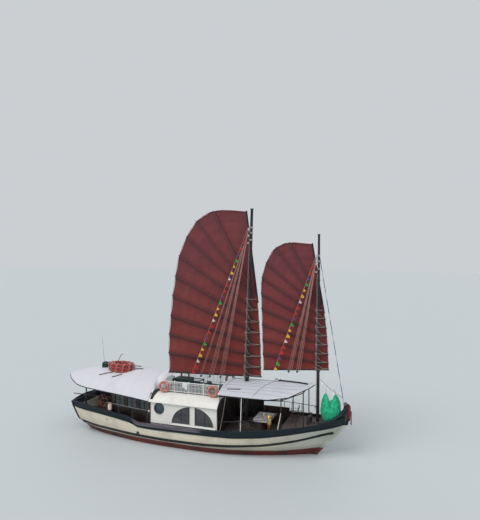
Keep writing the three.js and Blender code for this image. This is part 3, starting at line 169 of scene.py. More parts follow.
# %% Recipes
class Recipe:
    """One material, made node by node."""

    def __init__(self, name):
        self.material = bpy.data.materials.new(name)
        self.material.use_nodes = True
        self.tree = self.material.node_tree
        self.tree.nodes.clear()
        self.place = self.node("ShaderNodeTexCoord", output="Object")

    def node(self, kind, settings=None, sockets=None, output=0):
        made = self.tree.nodes.new(kind)
        for setting, value in (settings or {}).items():
            if setting == "stops":
                for at, height in value[1:-1]:
                    made.mapping.curves[0].points.new(at, height)
                for point, (at, height) in zip(made.mapping.curves[0].points, value):
                    point.location = (at, height)
                    point.handle_type = "VECTOR"
                made.mapping.update()
            else:
                setattr(made, setting, value)
        for socket, value in (sockets or {}).items():
            if isinstance(value, Value):
                self.tree.links.new(value.link, made.inputs[socket])
            else:
                made.inputs[socket].default_value = value
        return Value(self, made.outputs[output]) if made.outputs else None

    def part(self, vector, axis):
        return self.node("ShaderNodeSeparateXYZ", sockets={0: vector}, output=axis)

    def along(self, axis):
        return self.part(self.place, axis)

    def facing(self, axis):
        """How far the surface faces along an axis, from -1 to 1."""
        return self.part(self.node("ShaderNodeNewGeometry", output="Normal"), axis)

    def line(self, points, low=-10.3, high=9.0, tallest=4.0):
        """The height of a painted line over the boat's length, from listed (x, z) points."""
        share = (self.along("X") - low) / (high - low)
        stops = [((x - low) / (high - low), z / tallest) for x, z in points]
        return self.node("ShaderNodeFloatCurve", {"stops": stops}, {"Value": share}) * tallest

    def noise(self, size, detail=3, stretch=(1, 1, 1)):
        """A cloud pattern whose blobs are about size metres across, pulled out by stretch."""
        scaled = self.node("ShaderNodeVectorMath", {"operation": "DIVIDE"}, {0: self.place, 1: stretch})
        sockets = {"Vector": scaled, "Scale": 1 / size, "Detail": detail}
        return self.node("ShaderNodeTexNoise", sockets=sockets)

    def mix(self, share, first, second):
        return self.node("ShaderNodeMix", {"data_type": "RGBA"}, {0: share, 6: first, 7: second}, output=2)

    def cover(self, color, roughness, height=None, depth=0.002, **constants):
        """Closes the recipe with one Principled surface and gives back the material."""
        sockets = {"Base Color": color, "Roughness": roughness}
        sockets.update({words.replace("_", " "): value for words, value in constants.items()})
        if height is not None:
            sockets["Normal"] = self.node("ShaderNodeBump", sockets={"Distance": depth, "Height": height})
        shader = self.node("ShaderNodeBsdfPrincipled", sockets=sockets)
        self.node("ShaderNodeOutputMaterial", sockets={"Surface": shader})
        return self.material


# %% [markdown]
# ## A stock of finishes
# Every finish is kept under its name. A whole kind is filled in from a short table of names, colours
# in screen values and options, which is easier to compare and to correct than as many calls.

# %% Stock
finishes = {}


def tone(red, green, blue):
    """A colour given in screen values from 0 to 255, as the light values that shaders use."""
    linear = [((part / 255 + 0.055) / 1.055) ** 2.4 if part > 10 else part / 255 / 12.92
              for part in (red, green, blue)]
    return (*linear, 1.0)


def stock(kind, *rows):
    """One finish for each row: its name, its colours in screen values, and what else its kind takes."""
    for name, *colors, options in rows:
        finishes[name] = kind(name, *[tone(*color) for color in colors], **options)
    print(kind.__name__, len(rows))


# %% [markdown]
# ## Paint on wood
# Most of the boat is oil paint on planks, repainted every season over old coats. Three things make
# it look real: slow patches where one coat is thicker, long streaks where rain has run down, and
# the faint line where two planks meet. The seams are a repeating pattern in height that follows
# the boat's sheer, so they need no modelling and cost no triangles.

# %% Painted planks
GLOSS = {"Specular_IOR_Level": 0.3}
GRIME, SOOT = tone(60, 56, 50), tone(30, 26, 26)


def sheer_height(recipe):
    """Height measured from the boat's own curved sheer, so that plank seams rise to bow and stern."""
    along = recipe.along("X")
    return recipe.along("Z") - along * along * 0.0088 - along * 0.004


def painted(name, color, dirt, seam=0, seam_by="sheer", roughness=0.45, grime=0.35, seam_depth=0.004):
    recipe = Recipe(name)
    patches = recipe.noise(1.3, 4)
    streaks = recipe.noise(0.06, 3, (1, 1, 14)).between(0.52, 0.78)
    fine = recipe.noise(0.02, 2)
    worn = (patches.between(0.45, 0.8) * 0.5 + streaks * 0.5) * grime
    shade = recipe.mix(fine * 0.08, recipe.mix(worn, color, dirt), GRIME)
    height = fine * 0.12
    if seam:
        measure = sheer_height(recipe) if seam_by == "sheer" else recipe.along(seam_by)
        line = measure.joints(seam, 0.47, 0.495)
        shade = recipe.mix(line * 0.35, shade, dirt)
        height = height + (1 - line)
    return recipe.cover(shade, patches * 0.18 + (roughness - 0.05), height, seam_depth, **GLOSS)


stock(
    painted,
    ("sheer_navy", (14, 30, 38), (52, 62, 66), {"roughness": 0.5}),
    ("bottom_red", (126, 52, 46), (74, 52, 44), {"seam": 0.2, "roughness": 0.75, "grime": 0.8}),
    ("roof_white", (208, 208, 214), (176, 176, 178),
     {"seam": 0.62, "seam_by": "X", "grime": 0.5, "seam_depth": 0.003}),
    ("canopy_white", (204, 206, 214), (166, 168, 176), {"seam": 0.3, "seam_by": "Y", "grime": 0.6}),
    ("cabin_white", (228, 226, 220), (176, 170, 158), {"seam": 0.19, "seam_by": "Z"}),
    ("rail_white", (232, 232, 228), (168, 160, 146), {"grime": 0.4}),
    ("strake_dark", (22, 30, 30), (58, 60, 56), {"roughness": 0.5, "grime": 0.4}),
    ("canopy_shadow", (150, 152, 164), (120, 122, 130), {}),
    # The hood's white is brighter than the roof's, as painted light for its shaded forward face.
    ("hood_brightened_white", (248, 248, 252), (222, 222, 226), {"grime": 0.4}),
    ("bow_red", (120, 30, 34), (74, 30, 32), {"roughness": 0.5, "grime": 0.6}),
    ("cap_grey", (88, 86, 100), (52, 50, 58), {"grime": 0.6}),
    ("hatch_green", (22, 52, 50), (60, 78, 74), {"seam": 0.12, "seam_by": "X", "roughness": 0.4}),
    ("mast_black", (34, 33, 38), (84, 78, 76), {"grime": 0.5}),
)

# %% [markdown]
# ## Bare and varnished wood
# The cabin ends, posts and furniture are dark varnished hardwood, and the deck is grey worn teak.
# Grain is noise pulled out along the board, which reads as wood even from far away, where rings
# would only shimmer.

# %% Timber
BOARD_GAP, SUN_BLEACH = tone(18, 15, 14), tone(150, 142, 134)
GRAIN_PULL = 26


def timber(name, light, dark, axis, board, roughness=0.35, worn=0.08, depth=0.003):
    recipe = Recipe(name)
    stretch = [GRAIN_PULL if letter == axis else 1 for letter in "XYZ"]
    grain = recipe.noise(0.018, 4, stretch).between(0.3, 0.7)
    cloud = recipe.noise(0.7, 3)
    across = {"X": "Y", "Y": "Z", "Z": "X"}[axis]
    edge = recipe.along(across).joints(board, 0.46, 0.49)
    shade = recipe.mix(grain, dark, light)
    shade = recipe.mix(cloud.between(0.4, 0.75) * worn, shade, SUN_BLEACH)
    shade = recipe.mix(edge * 0.8, shade, BOARD_GAP)
    return recipe.cover(shade, cloud * 0.25 + (roughness - 0.1), grain * 0.3 + (1 - edge), depth)


stock(
    timber,
    ("deck_teak", (100, 88, 88), (70, 60, 60), {"axis": "X", "board": 0.11, "roughness": 0.75, "worn": 0.35}),
    ("dark_panel", (44, 34, 30), (24, 20, 20), {"axis": "Z", "board": 0.14}),
    ("dark_board", (38, 36, 38), (22, 22, 26), {"axis": "X", "board": 0.2}),
    ("furniture_brown", (66, 44, 36), (34, 25, 22), {"axis": "Y", "board": 0.15, "worn": 0.05}),
    ("batten_bamboo", (88, 44, 40), (58, 28, 28),
     {"axis": "X", "board": 0.4, "roughness": 0.7, "worn": 0.1, "depth": 0.001}),
)

# %% [markdown]
# ## Sailcloth
# The sails are cotton dyed with brown-red tannin. The dye is uneven, the sun bleaches it, and salt
# leaves it a little purple near the head. A weave shows only close by, as two crossed fine waves in
# the bump. Sewn seams run up the cloth every 0.7 m, so a repeating dark line is mixed in. Sheen
# gives the soft bright edge that cotton has and paint doesn't.

# %% Cloths
CLOTH_WIDTH = 0.7
BLOTCH, STITCH, BATTEN_SHADOW_TONE = tone(62, 28, 32), tone(52, 24, 26), tone(56, 26, 32)


def woven(recipe, threads):
    return (recipe.along("X") * threads).wave() * (recipe.along("Z") * threads).wave()


def sailcloth(name, low, high, faded, foot, head):
    recipe = Recipe(name)
    rise = recipe.along("Z").between(foot, head)
    patches = recipe.noise(1.7, 4, (1.6, 1, 0.7)).between(0.4, 0.72)
    blotches = recipe.noise(0.25, 3).between(0.5, 0.8)
    seam = recipe.along("X").joints(CLOTH_WIDTH, 0.478, 0.494)
    # Painted shadow: a per-point attribute mixes a darker maroon into the cloth beside each batten, fainter
    # toward the head.
    batten_shadow = recipe.node("ShaderNodeAttribute", {"attribute_name": "batten_shadow"}, output="Fac")
    shade = recipe.mix(rise, low, high)
    for share, layer in ((patches * 0.5, faded), (blotches * 0.22, BLOTCH), (seam * 0.35, STITCH),
                         (batten_shadow * (0.72 - rise * 0.44), BATTEN_SHADOW_TONE)):
        shade = recipe.mix(share, shade, layer)
    height = woven(recipe, 1900) * 0.04 + recipe.noise(0.35, 4) + seam * 0.3
    return recipe.cover(shade, 0.9, height, 0.02, Sheen_Weight=0.25, Sheen_Roughness=0.5)


def cloth(name, color, shadow, size=0.05, roughness=0.9, depth=0.01):
    recipe = Recipe(name)
    folds = recipe.noise(size, 4)
    shade = recipe.mix(folds.between(0.35, 0.7), shadow, color)
    return recipe.cover(shade, roughness, folds + woven(recipe, 1400) * 0.05, depth, Sheen_Weight=0.2)


stock(
    sailcloth,
    ("main_maroon", (116, 37, 31), (106, 46, 52), (128, 54, 50), {"foot": 4, "head": 13.5}),
    ("fore_maroon", (118, 37, 33), (108, 47, 54), (130, 55, 51), {"foot": 4.6, "head": 12}),
    ("pocket_maroon", (80, 28, 27), (90, 40, 45), (96, 42, 42), {"foot": 4, "head": 13.5}),
)
stock(
    cloth,
    ("net_green", (20, 190, 138), (8, 146, 106), {"size": 0.2, "roughness": 0.8, "depth": 0.03}),
    ("towel_white", (236, 236, 234), (196, 198, 204), {}),
    ("flag_red", (206, 40, 40), (150, 26, 30), {}),
    ("flag_yellow", (240, 190, 60), (196, 140, 36), {}),
    ("flag_green", (60, 170, 70), (30, 110, 50), {}),
    ("flag_white", (226, 206, 206), (190, 160, 160), {}),
    ("flag_purple", (120, 70, 130), (84, 44, 96), {}),
    ("table_linen", (226, 224, 222), (190, 186, 190), {"size": 0.1}),
)


# %% [markdown]
# ## Rope, plastic, metal and glass
# The small gear needs four more finishes. A laid rope is a slanted wave along its length. Foam
# floats are soft plastic that has gone chalky. Metal takes its look from reflections, and the
# window glass is nearly black with a sharp gloss, because the rooms behind it are dark. Soft
# patches of a lighter grey are mixed into the glass as a painted reflection of the sky.

# %% Small finishes
ROPE_LAY = 0.05


def rope(name, color, shadow):
    recipe = Recipe(name)
    slant = recipe.along("X") + recipe.along("Z") + recipe.along("Y") * 0.7
    strands = (slant * (2 * math.pi / ROPE_LAY)).wave().between(-0.7, 0.7)
    return recipe.cover(recipe.mix(strands, shadow, color), 0.9, strands + recipe.noise(0.01, 2) * 0.4, 0.004)


def plastic(name, color, faded, roughness=0.55, size=0.2):
    recipe = Recipe(name)
    chalk = recipe.noise(size, 4).between(0.4, 0.8)
    shade = recipe.mix(chalk * 0.6, color, faded)
    return recipe.cover(shade, chalk * 0.2 + roughness, recipe.noise(0.008, 2), 0.0008)


def metal(name, color, rust, roughness, rusted):
    recipe = Recipe(name)
    spots = recipe.noise(0.09, 5).between(0.5, 0.75) * rusted
    shade = recipe.mix(spots, color, rust)
    return recipe.cover(shade, spots * 0.4 + roughness, recipe.noise(0.006, 2), 0.0006, Metallic=1 - spots)


def glazing(name, color, sky):
    recipe = Recipe(name)
    # Painted reflection: soft patches of a lighter sky colour are mixed into the glass.
    sky_reflection = recipe.noise(0.8, 2, (1, 1, 0.4)).between(0.35, 0.75)
    return recipe.cover(recipe.mix(sky_reflection * 0.5, color, sky), 0.06, Coat_Weight=0.5)


# %% [markdown]
# ## The small finishes' colours
# The colours were chosen beside the photograph. Salmon lifebuoys and green glass are the two that
# show first.

# %% Colours of the small finishes
stock(
    rope,
    ("rope_pale", (206, 200, 188), (150, 140, 126), {}),
    ("rope_pink", (196, 158, 150), (146, 104, 98), {}),
    ("rope_blue", (38, 84, 150), (20, 50, 100), {}),
    ("rope_dark", (54, 50, 52), (30, 28, 30), {}),
)
stock(
    plastic,
    ("buoy_salmon", (188, 100, 88), (200, 134, 120), {}),
    ("buoy_white", (222, 196, 184), (206, 170, 158), {}),
    ("buoy_band", (206, 142, 126), (196, 126, 110), {}),
    ("float_red", (146, 40, 44), (176, 84, 82), {"roughness": 0.6}),
    ("lamp_white", (240, 238, 228), (220, 214, 196), {"roughness": 0.3}),
    ("lamp_glow", (196, 178, 140), (222, 212, 190), {"roughness": 0.3}),
    ("pot_clay", (136, 84, 66), (104, 70, 60), {"roughness": 0.7}),
    ("leaf_green", (52, 92, 46), (92, 124, 66), {"roughness": 0.6, "size": 0.05}),
    ("petal_pink", (214, 92, 118), (232, 150, 160), {"roughness": 0.6, "size": 0.04}),
)
stock(
    metal,
    ("brass_gold", (196, 154, 70), (90, 70, 40), {"roughness": 0.35, "rusted": 0.2}),
    ("iron_dark", (92, 92, 98), (92, 52, 38), {"roughness": 0.55, "rusted": 0.7}),
    ("steel_grey", (168, 170, 176), (112, 84, 66), {"roughness": 0.35, "rusted": 0.25}),
)
# Each glass's second colour is the sky that it shows as a painted reflection.
stock(
    glazing,
    ("window_dark", (40, 42, 46), (92, 92, 96), {}),
    ("window_green", (12, 36, 42), (48, 88, 94), {}),
)

# %% [markdown]
# ## Dressing the construction
# Each solid of the model already has its right shape and place, so it keeps its mesh and gets a
# finish. The solids arrive with hard-edged facets. A small modifier joins their split corners and
# lets the shading run smoothly over every edge that is flatter than a given angle, which is how a
# round mast of 24 sides comes to look round.

# %% Smooth shading as a modifier
SMOOTH_BELOW = math.radians(32)
JOIN_WITHIN = 0.0002


def softener():
    group = bpy.data.node_groups.new("soften", "GeometryNodeTree")
    for way in ("INPUT", "OUTPUT"):
        group.interface.new_socket("Geometry", in_out=way, socket_type="NodeSocketGeometry")
    steps = [group.nodes.new(kind) for kind in (
        "NodeGroupInput", "GeometryNodeRemoveAttribute", "GeometryNodeMergeByDistance",
        "GeometryNodeSetShadeSmooth", "GeometryNodeSetShadeSmooth", "NodeGroupOutput")]
    for first, second in zip(steps, steps[1:]):
        group.links.new(first.outputs[0], second.inputs[0])
    _, strip, join, smooth, sharpen, _ = steps
    strip.inputs["Name"].default_value = "custom_normal"
    join.inputs["Distance"].default_value = JOIN_WITHIN
    smooth.inputs["Shade Smooth"].default_value = True
    sharpen.domain = "EDGE"
    sharpen.inputs["Shade Smooth"].default_value = False
    turn = group.nodes.new("GeometryNodeInputMeshEdgeAngle")
    sharp = group.nodes.new("FunctionNodeCompare")
    sharp.inputs["B"].default_value = SMOOTH_BELOW
    group.links.new(turn.outputs["Unsigned Angle"], sharp.inputs["A"])
    group.links.new(sharp.outputs["Result"], sharpen.inputs["Selection"])
    return group


soft_edges = softener()

# %% [markdown]
# ## The wardrobe
# One table says which finish each solid wears. The hull, the cabin's roof and the wheelhouse's front
# are missing here, since they change colour within one solid and get their own paint further down.

# %% Wardrobe
def dress(finish, names):
    for name in names.split():
        node = bpy.data.objects[name]
        node.data.materials.clear()
        node.data.materials.append(finishes[finish])
        node.modifiers.new("soften", "NODES").node_group = soft_edges


wardrobe = {
    "bottom_red": "rudder",
    "sheer_navy": "transom_board",
    "deck_teak": "deck",
    "mast_black": "main_mast fore_mast main_boom main_yard fore_boom fore_yard",
    "roof_white": "aft_roof",
    "canopy_white": "front_canopy",
    "cabin_white": "cabin_wall_starboard cabin_wall_port",
    "rail_white": "sundeck_rail_starboard sundeck_rail_port",
    "dark_panel": "cabin_wall_front cabin_wall_aft wheelhouse_wall_starboard wheelhouse_wall_port"
                  " wheelhouse_wall_aft cabin_door wheelhouse_door",
    "dark_board": "aft_roof_frame canopy_frame side_rail_starboard side_rail_port port_screen bow_head",
    "furniture_brown": "saloon_table saloon_bench helm_pedestal helm_wheel",
    "hatch_green": "companion_hatch companion_lid",
    "window_dark": "arched_window_starboard arched_window_port",
    "buoy_salmon": "lifebuoy_starboard_aft lifebuoy_starboard_fore lifebuoy_port_aft lifebuoy_port_fore",
    "float_red": "life_floats",
    "net_green": "tarp_bundle",
    "rope_pale": "forestay",
    "batten_bamboo": "main_battens fore_battens",
    "main_maroon": "main_sail_cloth",
    "fore_maroon": "fore_sail_cloth",
    "iron_dark": "anchor windlass",
    "steel_grey": "engine antenna",
    "brass_gold": "propeller",
}
for finish, names in wardrobe.items():
    dress(finish, names)
dressed = sum(len(names.split()) for names in wardrobe.values())
print("dressed", dressed, "of", len(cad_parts))

# %% [markdown]
# ## Shapes from points
# Every added piece is a mesh made from points. One class collects them in five ways that cover
# nearly all the gear on a boat: a skin over rows of points, a loft closed at both ends, a bar along
# a path, a plate cut to an outline, and a turned form. One call then makes the object, names its
# finish and ties it to the body that carries it. Curves could make the bars too, but one kind of
# mesh is easier to check.

# %% Shapes
def spread(low, high, count):
    """Evenly spaced numbers from low to high, both among them."""
    return [low + (high - low) * step / (count - 1) for step in range(count)]


def around(count):
    """Angles of equal steps once round a circle."""
    return [2 * math.pi * step / count for step in range(count)]


def outward(turn):
    """The level direction at an angle from +X."""
    return Vector((math.cos(turn), math.sin(turn), 0))


def frames(path):
    """Each point of a path with two directions across it, carried along without a twist."""
    path = [Vector(point) for point in path]
    last = len(path) - 1
    side = (path[1] - path[0]).orthogonal().normalized()
    for index, point in enumerate(path):
        ahead = (path[min(index + 1, last)] - path[max(index - 1, 0)]).normalized()
        side = (side - ahead * side.dot(ahead)).normalized()
        yield point, side, ahead.cross(side)


# %% [markdown]
# ## The shape class
# Each method adds one form to the same lists and gives the shape back, so calls can be chained.
# Closed forms are turned so that their faces look outward, because a renderer and a printer both
# take the outside from that.

# %% Shape class
class Shape:
    """Points and faces in metres that become one piece, with every closed form facing outward."""

    def __init__(self):
        self.points = []
        self.faces = []

    def skin(self, rows, closed=False, capped=False):
        start = len(self.points)
        width = len(rows[0])
        for row in rows:
            self.points.extend(Vector(point) for point in row)
        for line in range(len(rows) - 1):
            for step in range(width if closed else width - 1):
                near = start + line * width + step
                far = start + line * width + (step + 1) % width
                self.faces.append((near, far, far + width, near + width))
        if capped:
            top = start + (len(rows) - 1) * width
            self.faces.append(tuple(start + step for step in reversed(range(width))))
            self.faces.append(tuple(top + step for step in range(width)))
        return self

    def loft(self, rows, swap=False):
        """A solid over rings of points. Rings that turn the other way are taken in reverse."""
        return self.skin(rows[::-1] if swap else rows, closed=True, capped=True)

    def bar(self, path, radius, sides=8, flat=1.0):
        """A bar along a path. The radius may be a list, and flat squeezes it across."""
        rows = []
        for index, (point, side, up) in enumerate(frames(path)):
            size = radius[index] if isinstance(radius, list) else radius
            rows.append([point + side * (size * math.cos(turn)) + up * (size * flat * math.sin(turn))
                         for turn in around(sides)])
        return self.loft(rows)

    def rods(self, lines, radius, sides=8):
        """Straight or bent bars of one thickness, one for each path."""
        for path in lines:
            self.bar(path, radius, sides)
        return self

    def ring(self, center, radius, tube, axis="Y", steps=28, sides=10, stretch=(1, 1)):
        """A closed ring of round section, square to the axis Y or Z."""
        first, second = Vector((1, 0, 0)), Vector((0, 0, 1) if axis == "Y" else (0, 1, 0))
        through = first.cross(second)
        rows = []
        for turn in spread(2 * math.pi, 0, steps + 1):
            out = first * math.cos(turn) * stretch[0] + second * math.sin(turn) * stretch[1]
            rows.append([Vector(center) + out * (radius + tube * math.cos(part))
                         + through * (tube * math.sin(part)) for part in around(sides)])
        return self.skin(rows, closed=True)

    def plate(self, outline, through):
        """A flat outline pushed through by a vector."""
        outline = [Vector(point) for point in outline]
        through = Vector(through)
        turning = sum((a.cross(b) for a, b in zip(outline, outline[1:] + outline[:1])), Vector())
        if turning.dot(through) < 0:
            outline.reverse()
        return self.loft([outline, [point + through for point in outline]])

    def block(self, low, high):
        """A plank, board or pane with square corners between two opposite corners."""
        (x0, y0, z0), (x1, y1, z1) = low, high
        return self.plate([(x0, y0, z0), (x1, y0, z0), (x1, y1, z0), (x0, y1, z0)], (0, 0, z1 - z0))

    def turned(self, profile, center, axis="Z", sides=20):
        """A form turned on a lathe: profile is a list of (radius, distance along the axis)."""
        rows = []
        for radius, reach in profile:
            row = []
            for turn in around(sides):
                first, second = radius * math.cos(turn), radius * math.sin(turn)
                across = (second, reach, first) if axis == "Y" else (first, second, reach)
                row.append(Vector(center) + Vector(across))
            rows.append(row)
        return self.loft(rows, profile[0][1] > profile[-1][1])

    def make(self, name, finish, slot, body="hull", bevel=0.0, angle=40, stands_for=()):
        mesh = bpy.data.meshes.new(name)
        mesh.from_pydata([tuple(point) for point in self.points], [], self.faces)
        mesh.materials.append(finishes[finish])
        mesh.shade_smooth()
        mesh.set_sharp_from_angle(angle=math.radians(angle))
        piece = show(name, mesh)
        if bevel:
            edge = piece.modifiers.new("worn_edge", "BEVEL")
            edge.width = bevel
            edge.segments = 2
            edge.limit_method = "ANGLE"
        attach(piece, body)
        if stands_for:
            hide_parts(*stands_for)
        made.append(name)
        return piece


# %% [markdown]
# ## Places on the boat
# Nearly everything comes twice, once to starboard and once to port, so one pair of signs and words
# serves all the loops. Heights over the boat's length are read off lines of a few known points.

# %% Places
made = []
SIDES = ((-1, "starboard"), (1, "port"))


def corners(name):
    """The lowest and highest corner of a node's box."""
    return [Vector(corner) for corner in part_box(name)]


def along_points(points, x):
    """The value at x on a line through (x, value) points."""
    if x <= points[0][0]:
        return points[0][1]
    for (x0, v0), (x1, v1) in zip(points, points[1:]):
        if x <= x1:
            return v0 + (v1 - v0) * (x - x0) / (x1 - x0)
    return points[-1][1]


# %% [markdown]
# ## The painted sides
# The sides carry five bands: the red bottom, an off-white side split by a dark rubbing strake, a
# dark sheer band and a lilac-grey strip under the cap. The bands sweep up to bow and stern, so each
# edge is a line over the boat's length, drawn with a handful of points in a curve node. One recipe
# then paints the planking, the bulwarks and the raised foredeck, so no band breaks where two meet.
# The inner faces are dark and the tops are planks or a painted cap, told apart by the normal.

# %% Hull bands
CREAM_TOP = [(-8.74, 1.55), (-6.8, 1.46), (-5.56, 1.37), (-4.2, 1.22), (-3.82, 1.03), (-2.8, 1.0),
             (-1.17, 1.04), (1.1, 1.08), (2.35, 1.1), (4.11, 1.24), (5.23, 1.41), (6.3, 1.58),
             (7.37, 1.72), (8.4, 1.87)]
STRAKE = [(-8.8, 0.68), (-7.44, 0.58), (-5.67, 0.54), (-3.8, 0.5), (-1.84, 0.48), (0.75, 0.52), (2.31, 0.61),
          (4.05, 0.75), (5.16, 0.91), (6.24, 1.09), (7.8, 1.4)]
RAIL_TOP = [(-9.1, 1.9), (-6.7, 1.73), (-4.52, 1.56), (-4.3, 1.51), (-3.9, 1.29), (-3.68, 1.26), (-1.5, 1.3),
            (1.1, 1.35), (2.9, 1.5), (4.6, 1.68), (6.2, 1.85), (7.5, 2.03), (8.2, 2.2), (8.62, 2.36)]
BOOT_TOP = [(-8.5, 0.33), (0, 0.31), (5, 0.35), (7, 0.44)]
LILAC = [(-4.4, 0.0), (-3.9, 0.13), (1.0, 0.15), (4.0, 0.12), (7.0, 0.05)]
NAVY = tone(14, 30, 38)


def hull_paint(name, top_light, top_dark, top_board):
    recipe = Recipe(name)
    up = recipe.along("Z")
    across = recipe.along("Y")
    patches = recipe.noise(1.2, 4)
    streaks = recipe.noise(0.05, 3, (1, 1, 16)).between(0.5, 0.8)
    fine = recipe.noise(0.02, 2)
    boot = recipe.line(BOOT_TOP)
    cream = recipe.line(CREAM_TOP)
    rail = recipe.line(RAIL_TOP)
    edge = (recipe.noise(0.25, 2) - 0.5) * 0.03
    seam = sheer_height(recipe).joints(0.19, 0.465, 0.495)
    # Toward the bow the sides turn darker teal-grey: partly the paint's own tint, partly painted shade for
    # the forward sides, which face away from the light.
    bow = recipe.along("X").between(3.5, 8.0)
    side = recipe.mix(bow * 0.6, tone(218, 209, 190), tone(158, 178, 174))
    low_dirt = 1 - (up - boot).between(0.0, 0.35)
    side = recipe.mix((patches.between(0.42, 0.75) * 0.45 + streaks * 0.4) * 0.8, side, tone(148, 142, 128))
    side = recipe.mix(low_dirt * 0.4, side, tone(108, 104, 92))
    side = recipe.mix(seam * 0.4, side, tone(110, 104, 94))
    red = recipe.mix(patches.between(0.35, 0.7), tone(104, 48, 44), tone(74, 44, 42))
    dark = recipe.mix(patches.between(0.4, 0.8) * 0.3, NAVY, tone(34, 46, 52))
    lilac = recipe.mix(patches.between(0.4, 0.8) * 0.5, tone(104, 98, 108), tone(76, 70, 80))
    shade = recipe.mix((up - boot + edge).between(-0.006, 0.006), red, side)
    shade = recipe.mix((up - cream).between(-0.006, 0.006), shade, dark)
    strip = (up - rail + recipe.line(LILAC, tallest=1.0)).between(-0.005, 0.005)
    amid = recipe.along("X").between(-4.5, -3.9) * (1 - recipe.along("X").between(0.1, 0.7))
    shade = recipe.mix(strip * amid, shade, lilac)
    inner = (recipe.facing("Y") * across * -1).between(0.02, 0.1)
    shade = recipe.mix(inner, shade, recipe.mix(patches, tone(38, 36, 36), tone(62, 56, 52)))
    board = across.joints(top_board, 0.45, 0.49)
    grain = recipe.noise(0.03, 3, (22, 1, 1))
    top = recipe.mix(grain.between(0.3, 0.7), top_dark, top_light)
    top = recipe.mix(board * 0.7, top, SOOT)
    shade = recipe.mix(recipe.facing("Z").between(0.75, 0.9), shade, top)
    return recipe.cover(shade, patches * 0.2 + 0.4, fine * 0.15 + (1 - seam), 0.004, **GLOSS)


# %% [markdown]
# ## The cap's paint and the hull's coats
# The cap on the rail is walked on and worn, so it gets its own paint. The topsides and the raised
# foredeck differ only in the planks on their tops, which are two colours and a board's width.

# %% Cap and coats
def cap_paint(name):
    """The cap is dark toward both ends and worn lilac-grey amidships."""
    recipe = Recipe(name)
    along = recipe.along("X")
    patches = recipe.noise(0.8, 4)
    amid = along.between(-4.4, -3.8) * (1 - along.between(0.0, 0.7))
    lilac = recipe.mix(patches.between(0.4, 0.75), tone(104, 98, 108), tone(76, 70, 80))
    shade = recipe.mix(amid, recipe.mix(patches.between(0.4, 0.8) * 0.6, NAVY, tone(50, 52, 58)), lilac)
    return recipe.cover(shade, patches * 0.2 + 0.5, recipe.noise(0.02, 2), 0.001, **GLOSS)


finishes["cap_paint"] = cap_paint("cap_paint")
finishes["side_paint"] = hull_paint("side_paint", tone(96, 92, 104), tone(80, 76, 88), 0.4)
finishes["foredeck_paint"] = hull_paint("foredeck_paint", tone(104, 84, 76), tone(74, 60, 56), 0.12)
dress("side_paint", "hull_topsides bulwark_starboard bulwark_port keel_and_stem hull_bottom")
dress("foredeck_paint", "foredeck")
print("bands painted on 6 nodes")

# %% [markdown]
# ## Strakes and caps
# A rubbing strake is a half-round timber bolted along the side, and a cap is the flat rail on top
# of the bulwark. Both follow the hull exactly, so their points are found by shooting a ray at the
# planking from abeam at each station. A hand-drawn line would float off it or sink in.

# %% Strakes and caps
def tree_of(*names):
    """A search tree over the named nodes' surfaces, to find where a ray meets them."""
    points, faces = [], []
    for name in names:
        mesh = bpy.data.objects[name].data
        start = len(points)
        points.extend(vertex.co.copy() for vertex in mesh.vertices)
        faces.extend([start + index for index in polygon.vertices] for polygon in mesh.polygons)
    return BVHTree.FromPolygons(points, faces)


HALF_ROUND = ((-0.02, -0.5), (0.7, -0.48), (1.0, -0.38), (1.0, 0.38), (0.7, 0.48), (-0.02, 0.5))
shell = tree_of("hull_topsides", "hull_bottom", "foredeck", "bulwark_starboard", "bulwark_port")


def side_at(x, z, side):
    """The planking's y at a station and height, or None where there is none."""
    hit = shell.ray_cast(Vector((x, side * 6, z)), Vector((0, -side, 0)))[0]
    return hit.y if hit and hit.y * side > 0 else None


def timber_on_side(side, line, low_x, high_x, tall, proud):
    """A half-round timber on the planking, along a line of (x, z) points, thinner at its ends."""
    rows = []
    for x in spread(low_x, high_x, 56):
        z = along_points(line, x)
        y = side_at(x, z, side)
        if y is None:
            continue
        fade = min(1.0, (high_x - x) / 0.3 + 0.25, (x - low_x) / 0.3 + 0.25)
        rows.append([(x, y + side * proud * out * fade, z + tall * rise) for out, rise in HALF_ROUND])
    return Shape().loft(rows, side < 0)


BEAD = [(x, z + 0.02) for x, z in CREAM_TOP]
for side, word in SIDES:
    strake = timber_on_side(side, STRAKE, -8.5, 8.2, tall=0.15, proud=0.05)
    strake.make(f"rubbing_strake_{word}", "strake_dark", "navy_paint")
    guard = timber_on_side(side, BEAD, -8.7, 8.3, tall=0.07, proud=0.03)
    guard.make(f"sheer_bead_{word}", "sheer_navy", "navy_paint")
    rows = []
    for x in spread(-8.9, 8.5, 70):
        z = along_points(RAIL_TOP, x)
        y = side_at(x, z - 0.02, side)
        if y is None:
            continue
        reach = min(0.11, abs(y) * 0.8)
        section = ((0.03, -0.005), (0.035, 0.03), (0.02, 0.045),
                   (-reach, 0.045), (-reach - 0.01, 0.03), (-reach, -0.005))
        rows.append([(x, y + side * out, z + rise) for out, rise in section])
    Shape().loft(rows, side < 0).make(f"cap_rail_{word}", "cap_paint", "navy_paint")
print("strakes and caps", len(made))

# %% [markdown]
# ## Transom and outlet
# The raked transom has a dark round trim down each corner, which follows the transom's own slope,
# and the bilge outlet is a short dark pipe in the starboard side.

